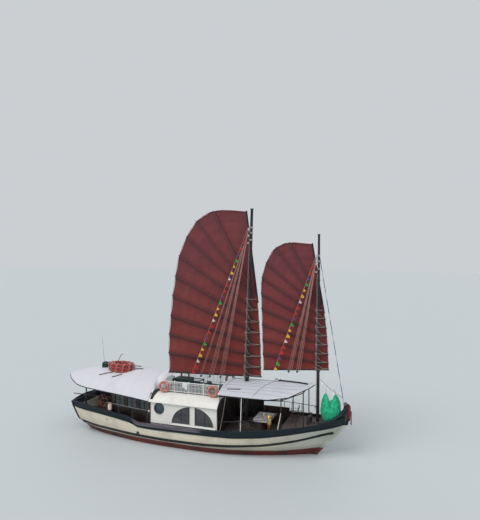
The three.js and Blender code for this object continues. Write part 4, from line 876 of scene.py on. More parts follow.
# %% Transom
RAKE = 0.443
OUTLET_X, OUTLET_Z = -3.76, 0.66
OUTLET_PIPE = [(0.05, 0.03), (0.085, 0.03), (0.09, 0.0), (0.085, -0.045), (0.06, -0.05), (0.052, -0.02)]
for side, word in SIDES:
    corner = []
    for z in spread(0.75, 1.72, 8):
        x = -8.27 - RAKE * z
        y = side_at(x + 0.14, z, side)
        if y is not None:
            corner.append((x - 0.02, y * 0.985, z))
    Shape().bar(corner, 0.05).make(f"transom_trim_{word}", "strake_dark", "navy_paint")
outlet_y = side_at(OUTLET_X, OUTLET_Z, -1)
outlet = Shape().turned(OUTLET_PIPE, (OUTLET_X, outlet_y - 0.01, OUTLET_Z), "Y", 18)
outlet.make("bilge_outlet", "iron_dark", "iron")
print("outlet at y", round(outlet_y, 3))

# %% [markdown]
# ## The sails
# A junk sail is a fan of panels held flat by battens. The cloth between two battens bellies to
# leeward and its free edge is scalloped. A cloth simulation would need the wind and hours of tuning
# to hold the shape of a sail that is set, so each panel is drawn between two battens and bulged by a
# formula, with shallow creases that run from the battens. It is one sheet, cut a little fuller than
# the frame that it hangs in, which is how a sailmaker gives it shape.

# %% Sail plans
SAILS = {
    "main": {
        "y": 0.262, "belly": 0.10,
        "luff": [(3.44, 4.145), (3.40, 6.05), (3.31, 7.48), (3.21, 8.86)],
        "leech": [(-2.8, 3.927), (-2.85, 5.56), (-2.8, 6.66), (-2.56, 9.06), (-2.2, 11.2), (-1.84, 12.2),
                  (-1.36, 13.1), (-0.89, 13.7), (-0.43, 14.03), (0.04, 14.28), (0.76, 14.38), (1.6, 14.34),
                  (2.49, 14.24)],
        "battens": [(4.7, 5.2), (5.35, 6.4), (6.05, 7.62), (6.79, 8.93), (7.45, 10.2), (8.17, 11.5),
                    (8.83, 12.71)],
        "fan": [(-0.89, 13.7), (0.3, 14.32)], "peak": (2.49, 14.24), "batten": 0.024,
    },
    "fore": {
        "y": 0.222, "belly": 0.08,
        "luff": [(7.56, 4.908), (7.5, 6.32), (7.42, 7.34), (7.28, 8.4)],
        "leech": [(3.62, 4.603), (3.56, 6.0), (3.52, 7.5), (3.47, 9.0), (3.45, 9.8), (3.54, 10.35),
                  (3.73, 10.98), (3.94, 11.43), (4.16, 11.81), (4.4, 12.03), (4.91, 12.28), (5.5, 12.33),
                  (6.6, 12.22)],
        "battens": [(5.3, 5.55), (5.8, 6.43), (6.32, 7.33), (6.84, 8.3), (7.34, 9.23), (7.85, 10.2),
                    (8.33, 11.1)],
        "fan": [(4.4, 12.03), (5.25, 12.31)], "peak": (6.6, 12.22), "batten": 0.02,
    },
}


# %% [markdown]
# ## Where the spars end
# A batten starts on the luff and ends where the leech has the height noted for it. The leech is
# walked in small steps and the nearest one is taken, which is right to about a centimetre. The
# share of the leech at every spar is kept, since the panels are cut by it.

# %% Spars
WALK_STEPS = 800
LOWER_LEECH = 560


def x_at_height(edge, z):
    return along_points([(height, x) for x, height in edge], z)


def walk(edge, share):
    """The point a share of the way along a line of points."""
    lengths = [math.dist(a, b) for a, b in zip(edge, edge[1:])]
    left = share * sum(lengths)
    for (a, b), length in zip(zip(edge, edge[1:]), lengths):
        if left <= length:
            return tuple(p + (q - p) * left / length for p, q in zip(a, b))
        left -= length
    return edge[-1]


def share_along(edge, target):
    """How far along a line of points the nearest point to the target lies."""
    shares = [step / WALK_STEPS for step in range(WALK_STEPS + 1)]
    return min((math.dist(walk(edge, share), target), share) for share in shares)[1]


def spars(plan):
    """The luff and leech end of the boom, each batten and the yard, from foot to head."""
    luff, leech = plan["luff"], plan["leech"]
    ends = [(luff[0], leech[0])]
    for low, high in plan["battens"]:
        shares = [step / WALK_STEPS for step in range(LOWER_LEECH)]
        on_leech = min((abs(walk(leech, share)[1] - high), share) for share in shares)[1]
        ends.append(((x_at_height(luff, low), low), walk(leech, on_leech)))
    ends.extend((luff[-1], tip) for tip in plan["fan"])
    ends.append((luff[-1], plan["peak"]))
    return ends


for word, plan in SAILS.items():
    plan["spars"] = spars(plan)
    plan["shares"] = [share_along(plan["leech"], end) for _, end in plan["spars"]]
    print(word, "spars", len(plan["spars"]))

# %% [markdown]
# ## Panels between battens
# The rows of a panel run from luff to leech. The bulge is a sine across the panel, so it starts and
# ends on a batten, and it fades at the luff, where the edge rope holds the cloth. A small second
# wave along the panel makes the soft upright creases that show where the cloth is seamed.

# %% Sailcloth panels
STEPS = 44
ROWS = 8


def sail_rows(plan):
    rows = []
    for panel in range(len(plan["spars"]) - 1):
        (fore_low, _), (fore_high, _) = plan["spars"][panel], plan["spars"][panel + 1]
        first, last = plan["shares"][panel], plan["shares"][panel + 1]
        size = min(1.0, math.dist(walk(plan["leech"], first), walk(plan["leech"], last)) / 1.1)
        for row in range(ROWS + (panel == len(plan["spars"]) - 2)):
            share = row / ROWS
            fore = Vector(fore_low).lerp(Vector(fore_high), share)
            aft = Vector(walk(plan["leech"], first + (last - first) * share))
            bulge = math.sin(math.pi * share) ** 0.8
            line = []
            for step in range(STEPS + 1):
                run = step / STEPS
                width = math.sin(math.pi * min(1, run * 1.1 + 0.05)) ** 0.5 if run < 0.86 else 0.75
                scallop = 0.012 * size * bulge * max(0, run - 0.9) * 10
                crease = 0.010 * math.sin(run * 58 + panel * 1.7) * math.sin(math.pi * share)
                point = fore.lerp(aft, run)
                belly = plan["belly"] * size * bulge * width
                line.append((point.x + scallop, plan["y"] + belly + crease, point.y))
            rows.append(line)
    return rows


def flat_area(outline):
    return abs(sum(a[0] * b[1] - b[0] * a[1] for a, b in zip(outline, outline[1:] + outline[:1]))) / 2


for word, plan in SAILS.items():
    body = f"{word}_sail"
    shape = Shape().skin(sail_rows(plan))
    cloth_piece = shape.make(f"{word}_sailcloth", f"{word}_maroon", "sail_cloth", body, angle=60,
                             stands_for=[f"{word}_sail_cloth"])
    # Painted shadow along the battens: each point stores how dark the cloth is painted there, most at a
    # batten and reaching further below it than above it.
    near = cloth_piece.data.attributes.new("batten_shadow", "FLOAT", "POINT")
    for index in range(len(cloth_piece.data.vertices)):
        share = (index // (STEPS + 1)) % ROWS / ROWS
        batten_shadow_here = max(1 - share / 0.22, 1 - (1 - share) / 0.42, 0.0)
        near.data[index].value = batten_shadow_here ** 1.4
    cut = sum((shape.points[a] - shape.points[b]).cross(shape.points[c] - shape.points[b]).length
              for a, b, c, _ in shape.faces)
    area = round(flat_area(plan["luff"] + plan["leech"][::-1]) * 1.025, 1)
    wide = max(x for x, _ in plan["luff"]) - min(x for x, _ in plan["leech"])
    tall = max(z for _, z in plan["leech"]) - min(z for _, z in plan["leech"])
    print(word, "sail", round(wide, 2), "x", round(tall, 2), "m, cut", area, "m2, made", round(cut, 1))

# %% [markdown]
# ## Battens in their pockets
# Each batten is a bamboo pole laced into a sleeve of doubled cloth. From a distance it reads as a
# dark soft-edged band across the sail. The sleeve is a flattened bar round the pole, and the pole's
# bare tip shows past the leech. Edge ropes are sewn along the luff and leech.

# %% Battens and edge ropes
SPAR_RADIUS = {"main_boom": 0.042, "main_yard": 0.052, "fore_boom": 0.036, "fore_yard": 0.042}
OVER_SPAR = 0.0033
ABEAM = Vector((0, 1, 0))
for word, plan in SAILS.items():
    body = f"{word}_sail"
    off = plan["y"] - plan["batten"] - 0.006
    sleeves, tips = Shape(), Shape()
    for ends in plan["spars"][1:-1]:
        start, end = [Vector((x, off, z)) for x, z in ends]
        along = (end - start).normalized()
        across = along.cross(ABEAM).normalized()
        rows = []
        for index, share in enumerate(spread(0.0, 0.985, 14)):
            spot = start.lerp(end, share)
            ruffle = 0.062 * (1 + 0.12 * math.sin(index * 2.1))
            rows.append([spot + across * (ruffle * math.cos(turn)) + ABEAM * (0.03 * math.sin(turn))
                         for turn in around(12)])
        sleeves.loft(rows, swap=True)
        tips.bar([start - along * 0.05, start, end, end + along * 0.06], plan["batten"] * 0.9)
    sleeves.make(f"{word}_batten_sleeves", "pocket_maroon", "sail_cloth", body, angle=70)
    tips.make(f"{word}_batten_poles", "batten_bamboo", "batten_wood", body, stands_for=[f"{word}_battens"])
    leech = [walk(plan["leech"], share) for share in spread(0, 1, 60)]
    edges = Shape().bar([(x, plan["y"], z) for x, z in plan["luff"]], 0.014)
    edges.bar([(x, plan["y"], z) for x, z in leech], 0.012)
    edges.make(f"{word}_edge_rope", "pocket_maroon", "sail_cloth", body)
    lashings = Shape()
    for spar, ends in (("yard", (plan["luff"][-1], plan["peak"])), ("boom", (leech[0], plan["luff"][0]))):
        radius = SPAR_RADIUS[f"{word}_{spar}"]
        size = radius + 0.008
        start, end = [Vector((x, plan["y"] - OVER_SPAR - radius, z)) for x, z in ends]
        along = (end - start).normalized()
        lift = along.cross(ABEAM)
        for share in spread(0.04, 0.96, 12):
            spot = start.lerp(end, share)
            lashings.bar([spot + ABEAM * (size * math.cos(turn)) + lift * (size * math.sin(turn))
                          + along * (0.02 * turn / 6) for turn in spread(0, 2 * math.pi, 15)], 0.006, 6)
    lashings.make(f"{word}_lashings", "rope_dark", "rope", body)
print("pieces so far", len(made))

# %% [markdown]
# ## Lifebuoys
# A lifebuoy is a foam ring with four reflective bands and a grab line that is held at the bands and
# hangs in loops between them. The foam and the bands are separate pieces, since each has its own
# finish. Four of them hang on the sundeck's railing.

# %% Lifebuoys
RING, TUBE = 0.275, 0.07
BAND = TUBE + 0.006
LINE_SLACK = 0.035


def lifebuoy(name):
    low, high = corners(name)
    center = (low + high) / 2
    inboard = 1 if center.y < 0 else -1
    foam = Shape().ring(center, RING, TUBE, steps=40, sides=14)
    foam.make(name + "_foam", "buoy_salmon", "buoy_orange", stands_for=[name])
    bands, line = Shape(), Shape()
    for quarter in range(4):
        middle = math.pi / 4 + quarter * math.pi / 2
        rows = []
        for turn in spread(middle - 0.17, middle + 0.17, 6):
            out = Vector((math.cos(turn), 0, math.sin(turn)))
            rows.append([center + out * (RING + BAND * math.cos(part)) + ABEAM * (BAND * math.sin(part))
                         for part in around(14)])
        bands.skin(rows, closed=True)
        loop = []
        for share in spread(0, 1, 9):
            turn = middle + share * math.pi / 2
            hang = math.sin(math.pi * share)
            reach = RING + TUBE + 0.01 - LINE_SLACK * hang
            loop.append(center + Vector((math.cos(turn) * reach, -TUBE * 0.9 * hang * inboard,
                                         math.sin(turn) * reach)))
        line.bar(loop, 0.007, 6)
    bands.make(name + "_bands", "buoy_band", "white_paint")
    line.make(name + "_line", "rope_pale", "rope")


for side in ("starboard", "port"):
    for place in ("aft", "fore"):
        lifebuoy(f"lifebuoy_{side}_{place}")

# %% [markdown]
# ## Life floats
# On the aft roof lies a stack of three oval ring floats, each wrapped with a becket line that is
# seized at regular points. The ring is a torus stretched along the boat, and the wrapping turns
# round it like a loose spring.

# %% Life floats
FLOAT_TUBE = 0.105
LINE_OVER = FLOAT_TUBE + 0.012
WRAPS = 12
low, high = corners("life_floats")
center = (low + high) / 2
reach = (high - low) / 2
oval = reach.x / reach.y
floats, beckets = Shape(), Shape()
for layer in range(3):
    spot = Vector((center.x + 0.02 * (layer - 1), center.y, high.z - FLOAT_TUBE - layer * FLOAT_TUBE * 1.86))
    floats.ring(spot, reach.y - FLOAT_TUBE, FLOAT_TUBE, "Z", 44, 12, (oval, 1))
    path = []
    for turn in spread(0, 2 * math.pi, WRAPS * 10 + 1):
        wrap = turn * WRAPS + layer
        size = reach.y - FLOAT_TUBE + LINE_OVER * math.cos(wrap)
        path.append(spot + Vector((math.cos(turn) * size * oval, math.sin(turn) * size,
                                   LINE_OVER * math.sin(wrap))))
    beckets.bar(path, 0.016, 6)
floats.make("life_float_rings", "float_red", "float_red", stands_for=["life_floats"])
beckets.make("life_float_lines", "rope_pale", "rope")
print("floats", [round(v, 2) for v in low], [round(v, 2) for v in high])

# %% [markdown]
# ## The green net bundle
# Forward of the mast hangs a bundle of green netting, slung by two corners from a rope, so that it
# has two humps, a deep fold between them and long folds down to the deck. It is a loft of rings
# whose radius carries the folds. A cushion-like simulation would smooth them away, so the folds are
# written as waves that deepen toward the top.

# %% Net bundle
ANGLES, LEVELS = 96, 44
low, high = corners("tarp_bundle")
middle = (low + high) / 2
half = (high - low) / 2
rows = []
for rise in spread(0, 1, LEVELS + 1):
    profile = (math.sin(math.pi * min(1, 0.06 + rise * 0.90)) ** 0.42) * (1.0 - 0.10 * rise)
    row = []
    for turn in around(ANGLES):
        folds = 0.05 * math.sin(turn * 9 + rise * 2.5) + 0.03 * math.sin(turn * 17 - rise * 5)
        folds += 0.02 * math.sin(turn * 31 + rise * 11)
        reach = profile * (1 + folds * (0.5 + rise))
        x, y = math.cos(turn) * reach, math.sin(turn) * reach
        humps = abs(x) ** 0.7 * 0.42 if rise > 0.5 else 0
        drop = max(0.0, rise - 0.55) * 0.55 * (1 - min(1, abs(x) * 2.4))
        tall = min(1.0, rise * 0.86 + humps * (rise - 0.5) * 1.1 - drop * 1.15)
        row.append((middle.x + half.x * x * 0.99, middle.y + half.y * y * 0.96,
                    low.z + (high.z - low.z) * tall))
    rows.append(row)
net = Shape().loft(rows).make("net_bundle", "net_green", "tarp_green", angle=180, stands_for=["tarp_bundle"])
slings = Shape()
for side in (-1, 1):
    path = ((0.3, -0.16), (0.27, 0.05), (0.2, 0.3 - side * 0.06))
    slings.bar([(middle.x + side * out, middle.y, high.z + rise) for out, rise in path], 0.009, 6)
slings.make("net_bundle_slings", "rope_dark", "rope")
print("bundle", [round(v, 2) for v in low], [round(v, 2) for v in high])

# %% [markdown]
# ## The cabin's sides
# The white cabin has an arched window on each side, cut in two by a white mullion, and one round
# porthole. The frames are thin mouldings that follow the openings, so they are bars on an ellipse
# and a circle. The porthole's glass is a shallow dome and its ring carries eight bolts. A small
# dark moulding runs under the eave and a sill throws the rain off below the window.

# %% Cabin sides
CABIN_SIDE = 2.0
WINDOW_X, WINDOW_HALF, MULLION = -0.125, 1.365, 0.28
WINDOW_BASE, WINDOW_RISE = 1.49, 1.1
BAR_SHARE = 0.56
BAR_TOP = WINDOW_BASE + WINDOW_RISE * math.sqrt(1 - BAR_SHARE ** 2)
BAR_LEVEL = WINDOW_BASE + 0.48
SILL = ((-0.03, -0.10), (0.055, -0.095), (0.06, -0.06), (-0.03, -0.035))
PORTHOLE_X, PORTHOLE_Z, PORTHOLE = -2.33, 2.28, 0.305
PORT_GLASS = ((0.29, -0.03), (0.2, -0.015), (0.1, -0.008), (0.01, -0.006))
BOLT = [(0.012, -0.01), (0.012, 0.008), (0.006, 0.012)]
for side, word in SIDES:
    face = side * (CABIN_SIDE + 0.006)
    inside = side * (CABIN_SIDE - 0.022)
    casing, bars = Shape(), Shape()
    casing.bar([(WINDOW_X + (WINDOW_HALF + 0.012) * math.cos(turn), face,
                 WINDOW_BASE + (WINDOW_RISE + 0.012) * math.sin(turn))
                for turn in spread(0, math.pi, 30)], 0.026)
    for edge in (-1, 1):
        x = WINDOW_X + edge * (MULLION / 2 + 0.005)
        casing.bar([(x, face, WINDOW_BASE - 0.01), (x, face, WINDOW_BASE + WINDOW_RISE * 0.995)], 0.02)
        x = WINDOW_X + edge * WINDOW_HALF * BAR_SHARE
        bars.bar([(x, inside, WINDOW_BASE), (x, inside, BAR_TOP)], 0.013, 6)
        bars.bar([(WINDOW_X + edge * out, inside, BAR_LEVEL) for out in (0.15, 1.2)], 0.011, 6)
    casing.make(f"window_frame_{word}", "cabin_white", "white_paint")
    bars.make(f"window_bars_{word}", "iron_dark", "iron")
    rows = [[(x, face + side * out, WINDOW_BASE + rise) for out, rise in SILL]
            for x in (WINDOW_X - WINDOW_HALF - 0.08, WINDOW_X + WINDOW_HALF + 0.1)]
    Shape().loft(rows, side < 0).make(f"window_sill_{word}", "rail_white", "white_paint", bevel=0.006)
    spot = Vector((PORTHOLE_X, face, PORTHOLE_Z))
    rim = Shape().ring(spot, PORTHOLE, 0.042, steps=40)
    for turn in around(8):
        bolt = spot + Vector((PORTHOLE * math.cos(turn), side * 0.038, PORTHOLE * math.sin(turn)))
        rim.turned(BOLT, bolt, "Y", 8)
    rim.make(f"porthole_ring_{word}", "iron_dark", "iron")
    dome = Shape().turned([(radius, side * reach) for radius, reach in PORT_GLASS], spot, "Y", 32)
    dome.make(f"porthole_glass_{word}", "window_green", "window_glass")
    eave = Shape().bar([(x, side * 2.035, 2.715) for x in spread(-2.93, 1.46, 12)], 0.02)
    eave.make(f"eave_moulding_{word}", "strake_dark", "dark_wood")
    skirt = Shape().bar([(x, side * 2.02, 1.365 + 0.01 * max(0, x)) for x in spread(-2.93, 1.45, 12)], 0.022)
    skirt.make(f"wall_skirting_{word}", "cap_grey", "dark_wood")
print("cabin side pieces", len(made))

# %% [markdown]
# ## The gable, its hood and the trim
# Where the aft roof rises over the cabin's flat sundeck, its end wall shows as a white gable above
# the dark wheelhouse front. The gable's two colours are one material that changes at the roof's
# height. A smooth white hood leads from the aft roof down to the sundeck in front of it. Its white is
# painted brighter than the roof's, as painted light for its forward face, which lies in shade. A
# dark plank lies along the cabin roof's aft edge. Both take their heights from rays shot down at the
# two roofs, so they fit them wherever they curve.

# %% Gable and trim
def two_tone(name, low, high, level):
    recipe = Recipe(name)
    cloud = recipe.noise(0.8, 4)
    seam = recipe.along("Y").joints(0.16, 0.46, 0.49)
    shade = recipe.mix(recipe.along("Z").between(level - 0.01, level + 0.01), low, high)
    shade = recipe.mix(cloud.between(0.45, 0.8) * 0.3, shade, tone(120, 116, 110))
    shade = recipe.mix(seam * 0.4, shade, tone(30, 28, 28))
    return recipe.cover(shade, cloud * 0.2 + 0.4, 1 - seam, 0.003)


def cabin_top(name):
    """White at the rounded sides and grey where people walk, told apart by the normal."""
    recipe = Recipe(name)
    walked = recipe.facing("Z").between(0.97, 0.99) * (1 - recipe.along("Y").size().between(1.33, 1.36))
    scuffs = recipe.noise(0.6, 4)
    grey = recipe.mix(scuffs.between(0.35, 0.7), tone(84, 92, 96), tone(58, 64, 68))
    white = recipe.mix(scuffs.between(0.45, 0.8) * 0.4, tone(222, 220, 214), tone(176, 170, 160))
    return recipe.cover(recipe.mix(walked, white, grey), scuffs * 0.2 + 0.45, recipe.noise(0.02, 2), 0.001)


def roof_z(tree, x, y):
    """The height of a surface where a ray from above meets it, or None where it misses."""
    hit = tree.ray_cast(Vector((x, y, 8)), Vector((0, 0, -1)))[0]
    return hit.z if hit else None


# %% [markdown]
# ## Trim and hood in place
# Each station asks both roofs for their height. Stations where the aft roof lies too close above
# the sundeck are left out, so the hood ends where there is nothing to bridge.

# %% Trim and hood
finishes["gable"] = two_tone("gable", tone(46, 36, 32), tone(226, 226, 228), 3.1)
finishes["cabin_top"] = cabin_top("cabin_top")
dress("gable", "wheelhouse_wall_front")
dress("cabin_top", "cabin_roof")
roof_tree, aft_tree, canopy_tree = tree_of("cabin_roof"), tree_of("aft_roof"), tree_of("front_canopy")
TRIM_X = -2.825
arched = Shape()
for side in (-1, 1):
    rows = []
    for y in spread(0.9, 2.075, 18):
        z = roof_z(roof_tree, -2.8, side * y)
        if z is None:
            continue
        half = 0.13 - 0.05 * max(0, (y - 1.6) / 0.5)
        section = ((-half, 0.002), (-half, 0.05), (half, 0.05), (half, 0.002))
        rows.append([(TRIM_X + out, side * y, z + rise) for out, rise in section])
    arched.loft(rows, side < 0)
arched.make("roof_end_trim", "strake_dark", "dark_wood", bevel=0.008)
HOOD = ((0.0, 0.004), (0.35, 0.09), (0.65, 0.175), (0.86, 0.24), (1.0, 0.29))
HOOD_AFT = -3.045
rows = []
for y in spread(-2.04, 2.04, 45):
    above, below = roof_z(aft_tree, -3.09, y), roof_z(roof_tree, -2.9, y)
    if above is None or below is None or above < below + 0.1:
        continue
    foot_x = -2.7 - 0.26 * min(1, max(0, (abs(y) - 0.85) / 0.2))
    tall = min(1, (above - below) / 0.5)
    curve = [(HOOD_AFT + (foot_x - HOOD_AFT) * share, y, above - drop * tall) for share, drop in HOOD]
    rows.append(curve + [(foot_x, y, below + 0.004), (HOOD_AFT, y, below + 0.004)])
# Painted light: the hood wears a white brighter than the roof's.
Shape().loft(rows).make("gable_hood", "hood_brightened_white", "white_paint")
corner_trim = Shape()
for side in (-1, 1):
    for x, y, radius in ((-2.94, 2.02, 0.035), (1.48, 2.015, 0.03)):
        corner_trim.bar([(x, side * y, 1.3), (x, side * y, 2.7)], radius)
corner_trim.make("cabin_corner_trim", "dark_panel", "dark_wood")
print("gable and trim", len(made))

# %% [markdown]
# ## The sundeck railing
# The white railing has close turned balusters between its rails, with a thin dark gap under the top
# rail. The model has the rails and posts, so only the balusters, the broad handrail board on top
# and the round knobs over the posts are added.

# %% Railing
RAIL = {"y": 1.398, "low": 3.235, "top": 3.79, "aft": -2.3, "front": 1.3}
POSTS = (RAIL["aft"], -1.575, -0.623, 0.33, RAIL["front"])
BALUSTER = [(0.011, 0.01), (0.016, 0.06), (0.011, 0.14), (0.018, 0.27), (0.011, 0.40), (0.016, 0.46),
            (0.011, 0.50)]
KNOB = [(0.03, 0.0), (0.036, 0.012), (0.02, 0.03), (0.028, 0.05), (0.012, 0.068)]
BOARD = ((-0.038, 0.012), (-0.03, 0.032), (0.03, 0.032), (0.038, 0.012))
for side, word in SIDES:
    y = side * RAIL["y"]
    balusters = Shape()
    for x in spread(RAIL["aft"] + 0.09, RAIL["front"] - 0.09, 38):
        balusters.turned(BALUSTER, (x, y, RAIL["low"]), sides=8)
    balusters.bar([(x, y, RAIL["top"] - 0.075) for x in (RAIL["aft"], RAIL["front"])], 0.012, 6)
    balusters.make(f"balusters_{word}", "rail_white", "white_paint")
    rows = [[(x, y + out, RAIL["top"] + rise) for out, rise in BOARD]
            for x in spread(RAIL["aft"] - 0.05, RAIL["front"] + 0.05, 12)]
    Shape().loft(rows, swap=True).make(f"rail_board_{word}", "rail_white", "white_paint", bevel=0.004)
    for x in POSTS:
        knob = Shape().turned(KNOB, (x, y, RAIL["top"] + 0.03), sides=12)
        knob.make(f"rail_knob_{word}_{abs(round(x * 100))}", "rail_white", "white_paint")
print("railing", len(made))

# %% [markdown]
# ## The cloth over the rail
# A cloth that is thrown over a rail hangs in folds from the line where it is bent, longer on one
# side. The folds are waves that widen downward. Its area stays that of the flat cloth, because the
# rows keep their spacing along the drape.

# %% Draped cloth
CLOTH = {"x": -0.86, "wide": 0.38, "front": 0.42, "back": 0.24}
rows = []
top = RAIL["top"] + 0.036
for step in spread(-CLOTH["front"], CLOTH["back"], 26):
    row = []
    for across in spread(-0.5, 0.5, 30):
        hang = max(0.0, abs(step) - 0.04) * (1 + 0.4 * across)
        pinch = 1 - 0.16 * min(1, hang / 0.3)
        fold = 0.012 * math.sin(across * 21 + 0.6) * min(1, hang / 0.12)
        out = (0.042 + hang * 0.06 + fold + 0.012) * (-1 if step < 0 else 1)
        if abs(step) < 0.04:
            out = step * 1.2
        ragged = 0.02 * math.sin(across * 9 + (1 if step > 0 else 0)) * hang / 0.3
        x = CLOTH["x"] + across * CLOTH["wide"] * pinch
        row.append((x, -RAIL["y"] + out, top + 0.004 - hang - ragged))
    rows.append(row)
towel = Shape().skin(rows).make("rail_cloth", "towel_white", "sail_cloth", angle=180)
print("cloth", CLOTH["wide"], "x", round(CLOTH["front"] + CLOTH["back"], 2))

# %% [markdown]
# ## On the sundeck
# Around the sliding hatch stand a dark green cowl for air, a locker for ropes and a small capstan.
# They are turned and lofted forms with broad bevels, like real joinery that is painted many times
# over. The lid's ribs and handle slide with the lid.

# %% Sundeck gear
COWL = ((-2.76, 0.24, 0.0), (-2.73, 0.27, 0.01), (-2.7, 0.29, 0.03), (-2.66, 0.31, 0.04), (-2.60, 0.31, 0.04),
        (-2.585, 0.3, 0.045))
LOCKER = ((-0.28, 3.135), (-0.28, 3.36), (0, 3.40), (0.28, 3.36), (0.28, 3.135))
CAPSTAN = [(0.2, 0.0), (0.2, 0.03), (0.13, 0.06), (0.1, 0.16), (0.09, 0.26), (0.12, 0.34), (0.17, 0.38),
           (0.17, 0.46), (0.1, 0.5), (0.03, 0.51)]
rows = [[(x, 0.46 + inset, 3.13), (x, 0.46 + inset, 3.13 + tall), (x, 0.80, 3.16 + tall),
         (x, 1.20 - inset, 3.13 + tall), (x, 1.20 - inset, 3.13)] for x, tall, inset in COWL]
Shape().loft(rows, swap=True).make("vent_cowl", "hatch_green", "hatch_green", bevel=0.01)
coaming = Shape()
for y in (0.435, 1.225):
    coaming.block((-2.56, y - 0.02, 3.14), (-0.78, y + 0.02, 3.19))
coaming.make("hatch_side_trim", "hatch_green", "hatch_green", bevel=0.008)
low, high = corners("companion_lid")
ribs = Shape()
for x in spread(low.x + 0.12, high.x - 0.12, 6):
    ribs.bar([(x, y, high.z + 0.004) for y in (low.y + 0.05, high.y - 0.05)], 0.012, 6)
handle = ((0.7, 0.01), (0.74, 0.05), (0.92, 0.05), (0.96, 0.01))
ribs.bar([(high.x - 0.05, y, high.z + rise) for y, rise in handle], 0.01, 6)
ribs.make("lid_ribs_and_handle", "strake_dark", "hatch_green", body="companion_lid")
Shape().turned(CAPSTAN, (0.12, 0.0, 3.14), sides=24).make("sheet_capstan", "iron_dark", "iron")
rows = [[(x, y, z) for y, z in LOCKER] for x in (0.42, 0.98)]
Shape().loft(rows, swap=True).make("rope_locker", "hatch_green", "hatch_green", bevel=0.015)
print("sundeck dressed", len(made))

# %% [markdown]
# ## The aft roof
# The aft roof is a smooth white shell with a thin dark edge. On it lie a dark green chest, three
# chafing battens that keep the floats off the paint, and a boathook that stands in the floats. All
# of them take their height from a ray shot down at the roof, so they rest on its curve.

# %% Aft roof
AFT_EDGE = [(-3.06, 2.1, 2.68), (-4.1, 2.1, 2.8), (-5.3, 2.1, 2.915), (-6.6, 2.1, 3.03), (-7.5, 2.06, 3.1),
            (-8.1, 1.9, 3.13), (-8.6, 1.64, 3.14), (-9.1, 1.28, 3.19), (-9.6, 0.9, 3.28), (-9.98, 0.5, 3.36),
            (-10.17, 0.16, 3.4)]


def edge_bar(edge, drop, radius):
    """A moulding just under a roof's edge, from the (x, y, z) points of its port half."""
    halves = ((-1, edge), (1, edge[::-1]))
    return Shape().bar([(x, side * y, z - drop) for side, half in halves for x, y, z in half], radius)


def lay_on(tree, start, end, radius, count=12):
    """A bar that lies on a curved roof between two (x, y) places."""
    path = []
    for share in spread(0, 1, count):
        x = start[0] + (end[0] - start[0]) * share
        y = start[1] + (end[1] - start[1]) * share
        z = roof_z(tree, x, y)
        if z is not None:
            path.append((x, y, z + radius * 0.9))
    return path


edge_bar(AFT_EDGE, 0.028, 0.03).make("aft_roof_edge", "strake_dark", "dark_wood")
CHAFE = (((-7.16, -1.22), (-6.32, -0.95)), ((-6.13, -1.3), (-5.55, -1.02)), ((-5.2, -0.5), (-4.5, -0.15)),
         ((-7.0, 0.35), (-5.0, 0.45)))
CHEST = ((-0.42, -0.02), (-0.42, 0.26), (-0.34, 0.33), (-0.06, 0.33), (0.02, 0.26), (0.02, -0.02))
STRAP = ((-0.43, 0), (-0.43, 0.26), (-0.34, 0.34), (-0.06, 0.34), (0.03, 0.26), (0.03, 0))
chafe = Shape().rods([lay_on(aft_tree, start, end, 0.026) for start, end in CHAFE], 0.026)
chafe.make("roof_battens", "strake_dark", "dark_wood")
chest_z = roof_z(aft_tree, -7.28, CHEST[0][0])
rows = [[(x, y, chest_z + rise) for y, rise in CHEST] for x in (-7.5, -7.06)]
Shape().loft(rows, swap=True).make("roof_chest", "hatch_green", "hatch_green", bevel=0.02)
straps = Shape().rods([[(x, y, chest_z + rise) for y, rise in STRAP] for x in (-7.4, -7.16)], 0.012, 6)
straps.make("roof_chest_straps", "rope_dark", "rope")
hook = Shape().bar([(-6.5, -0.42, 4.02), (-6.2, -0.42, 4.62), (-5.98, -0.42, 5.0)], 0.02)
hook.bar([(-5.98, -0.42, 4.98), (-5.88, -0.42, 5.02), (-5.86, -0.42, 4.94)], 0.014, 6)
hook.make("boathook", "dark_board", "dark_wood")
clamp = Shape().turned([(0.05, 0.0), (0.05, 0.05), (0.03, 0.08), (0.02, 0.12)],
                       (-7.8, 0.3, roof_z(aft_tree, -7.8, 0.3)), sides=14)
clamp.make("antenna_collar", "iron_dark", "iron")
print("chest at", round(chest_z, 3))

# %% [markdown]
# ## Wheelhouse glass and rail
# The wheelhouse has three windows a side with green-tinted glass in dark frames, set in the wall's
# openings. A light handrail runs outside it above the bulwark on short dark stanchions, and a small
# lamp hangs at the cabin's aft corner.

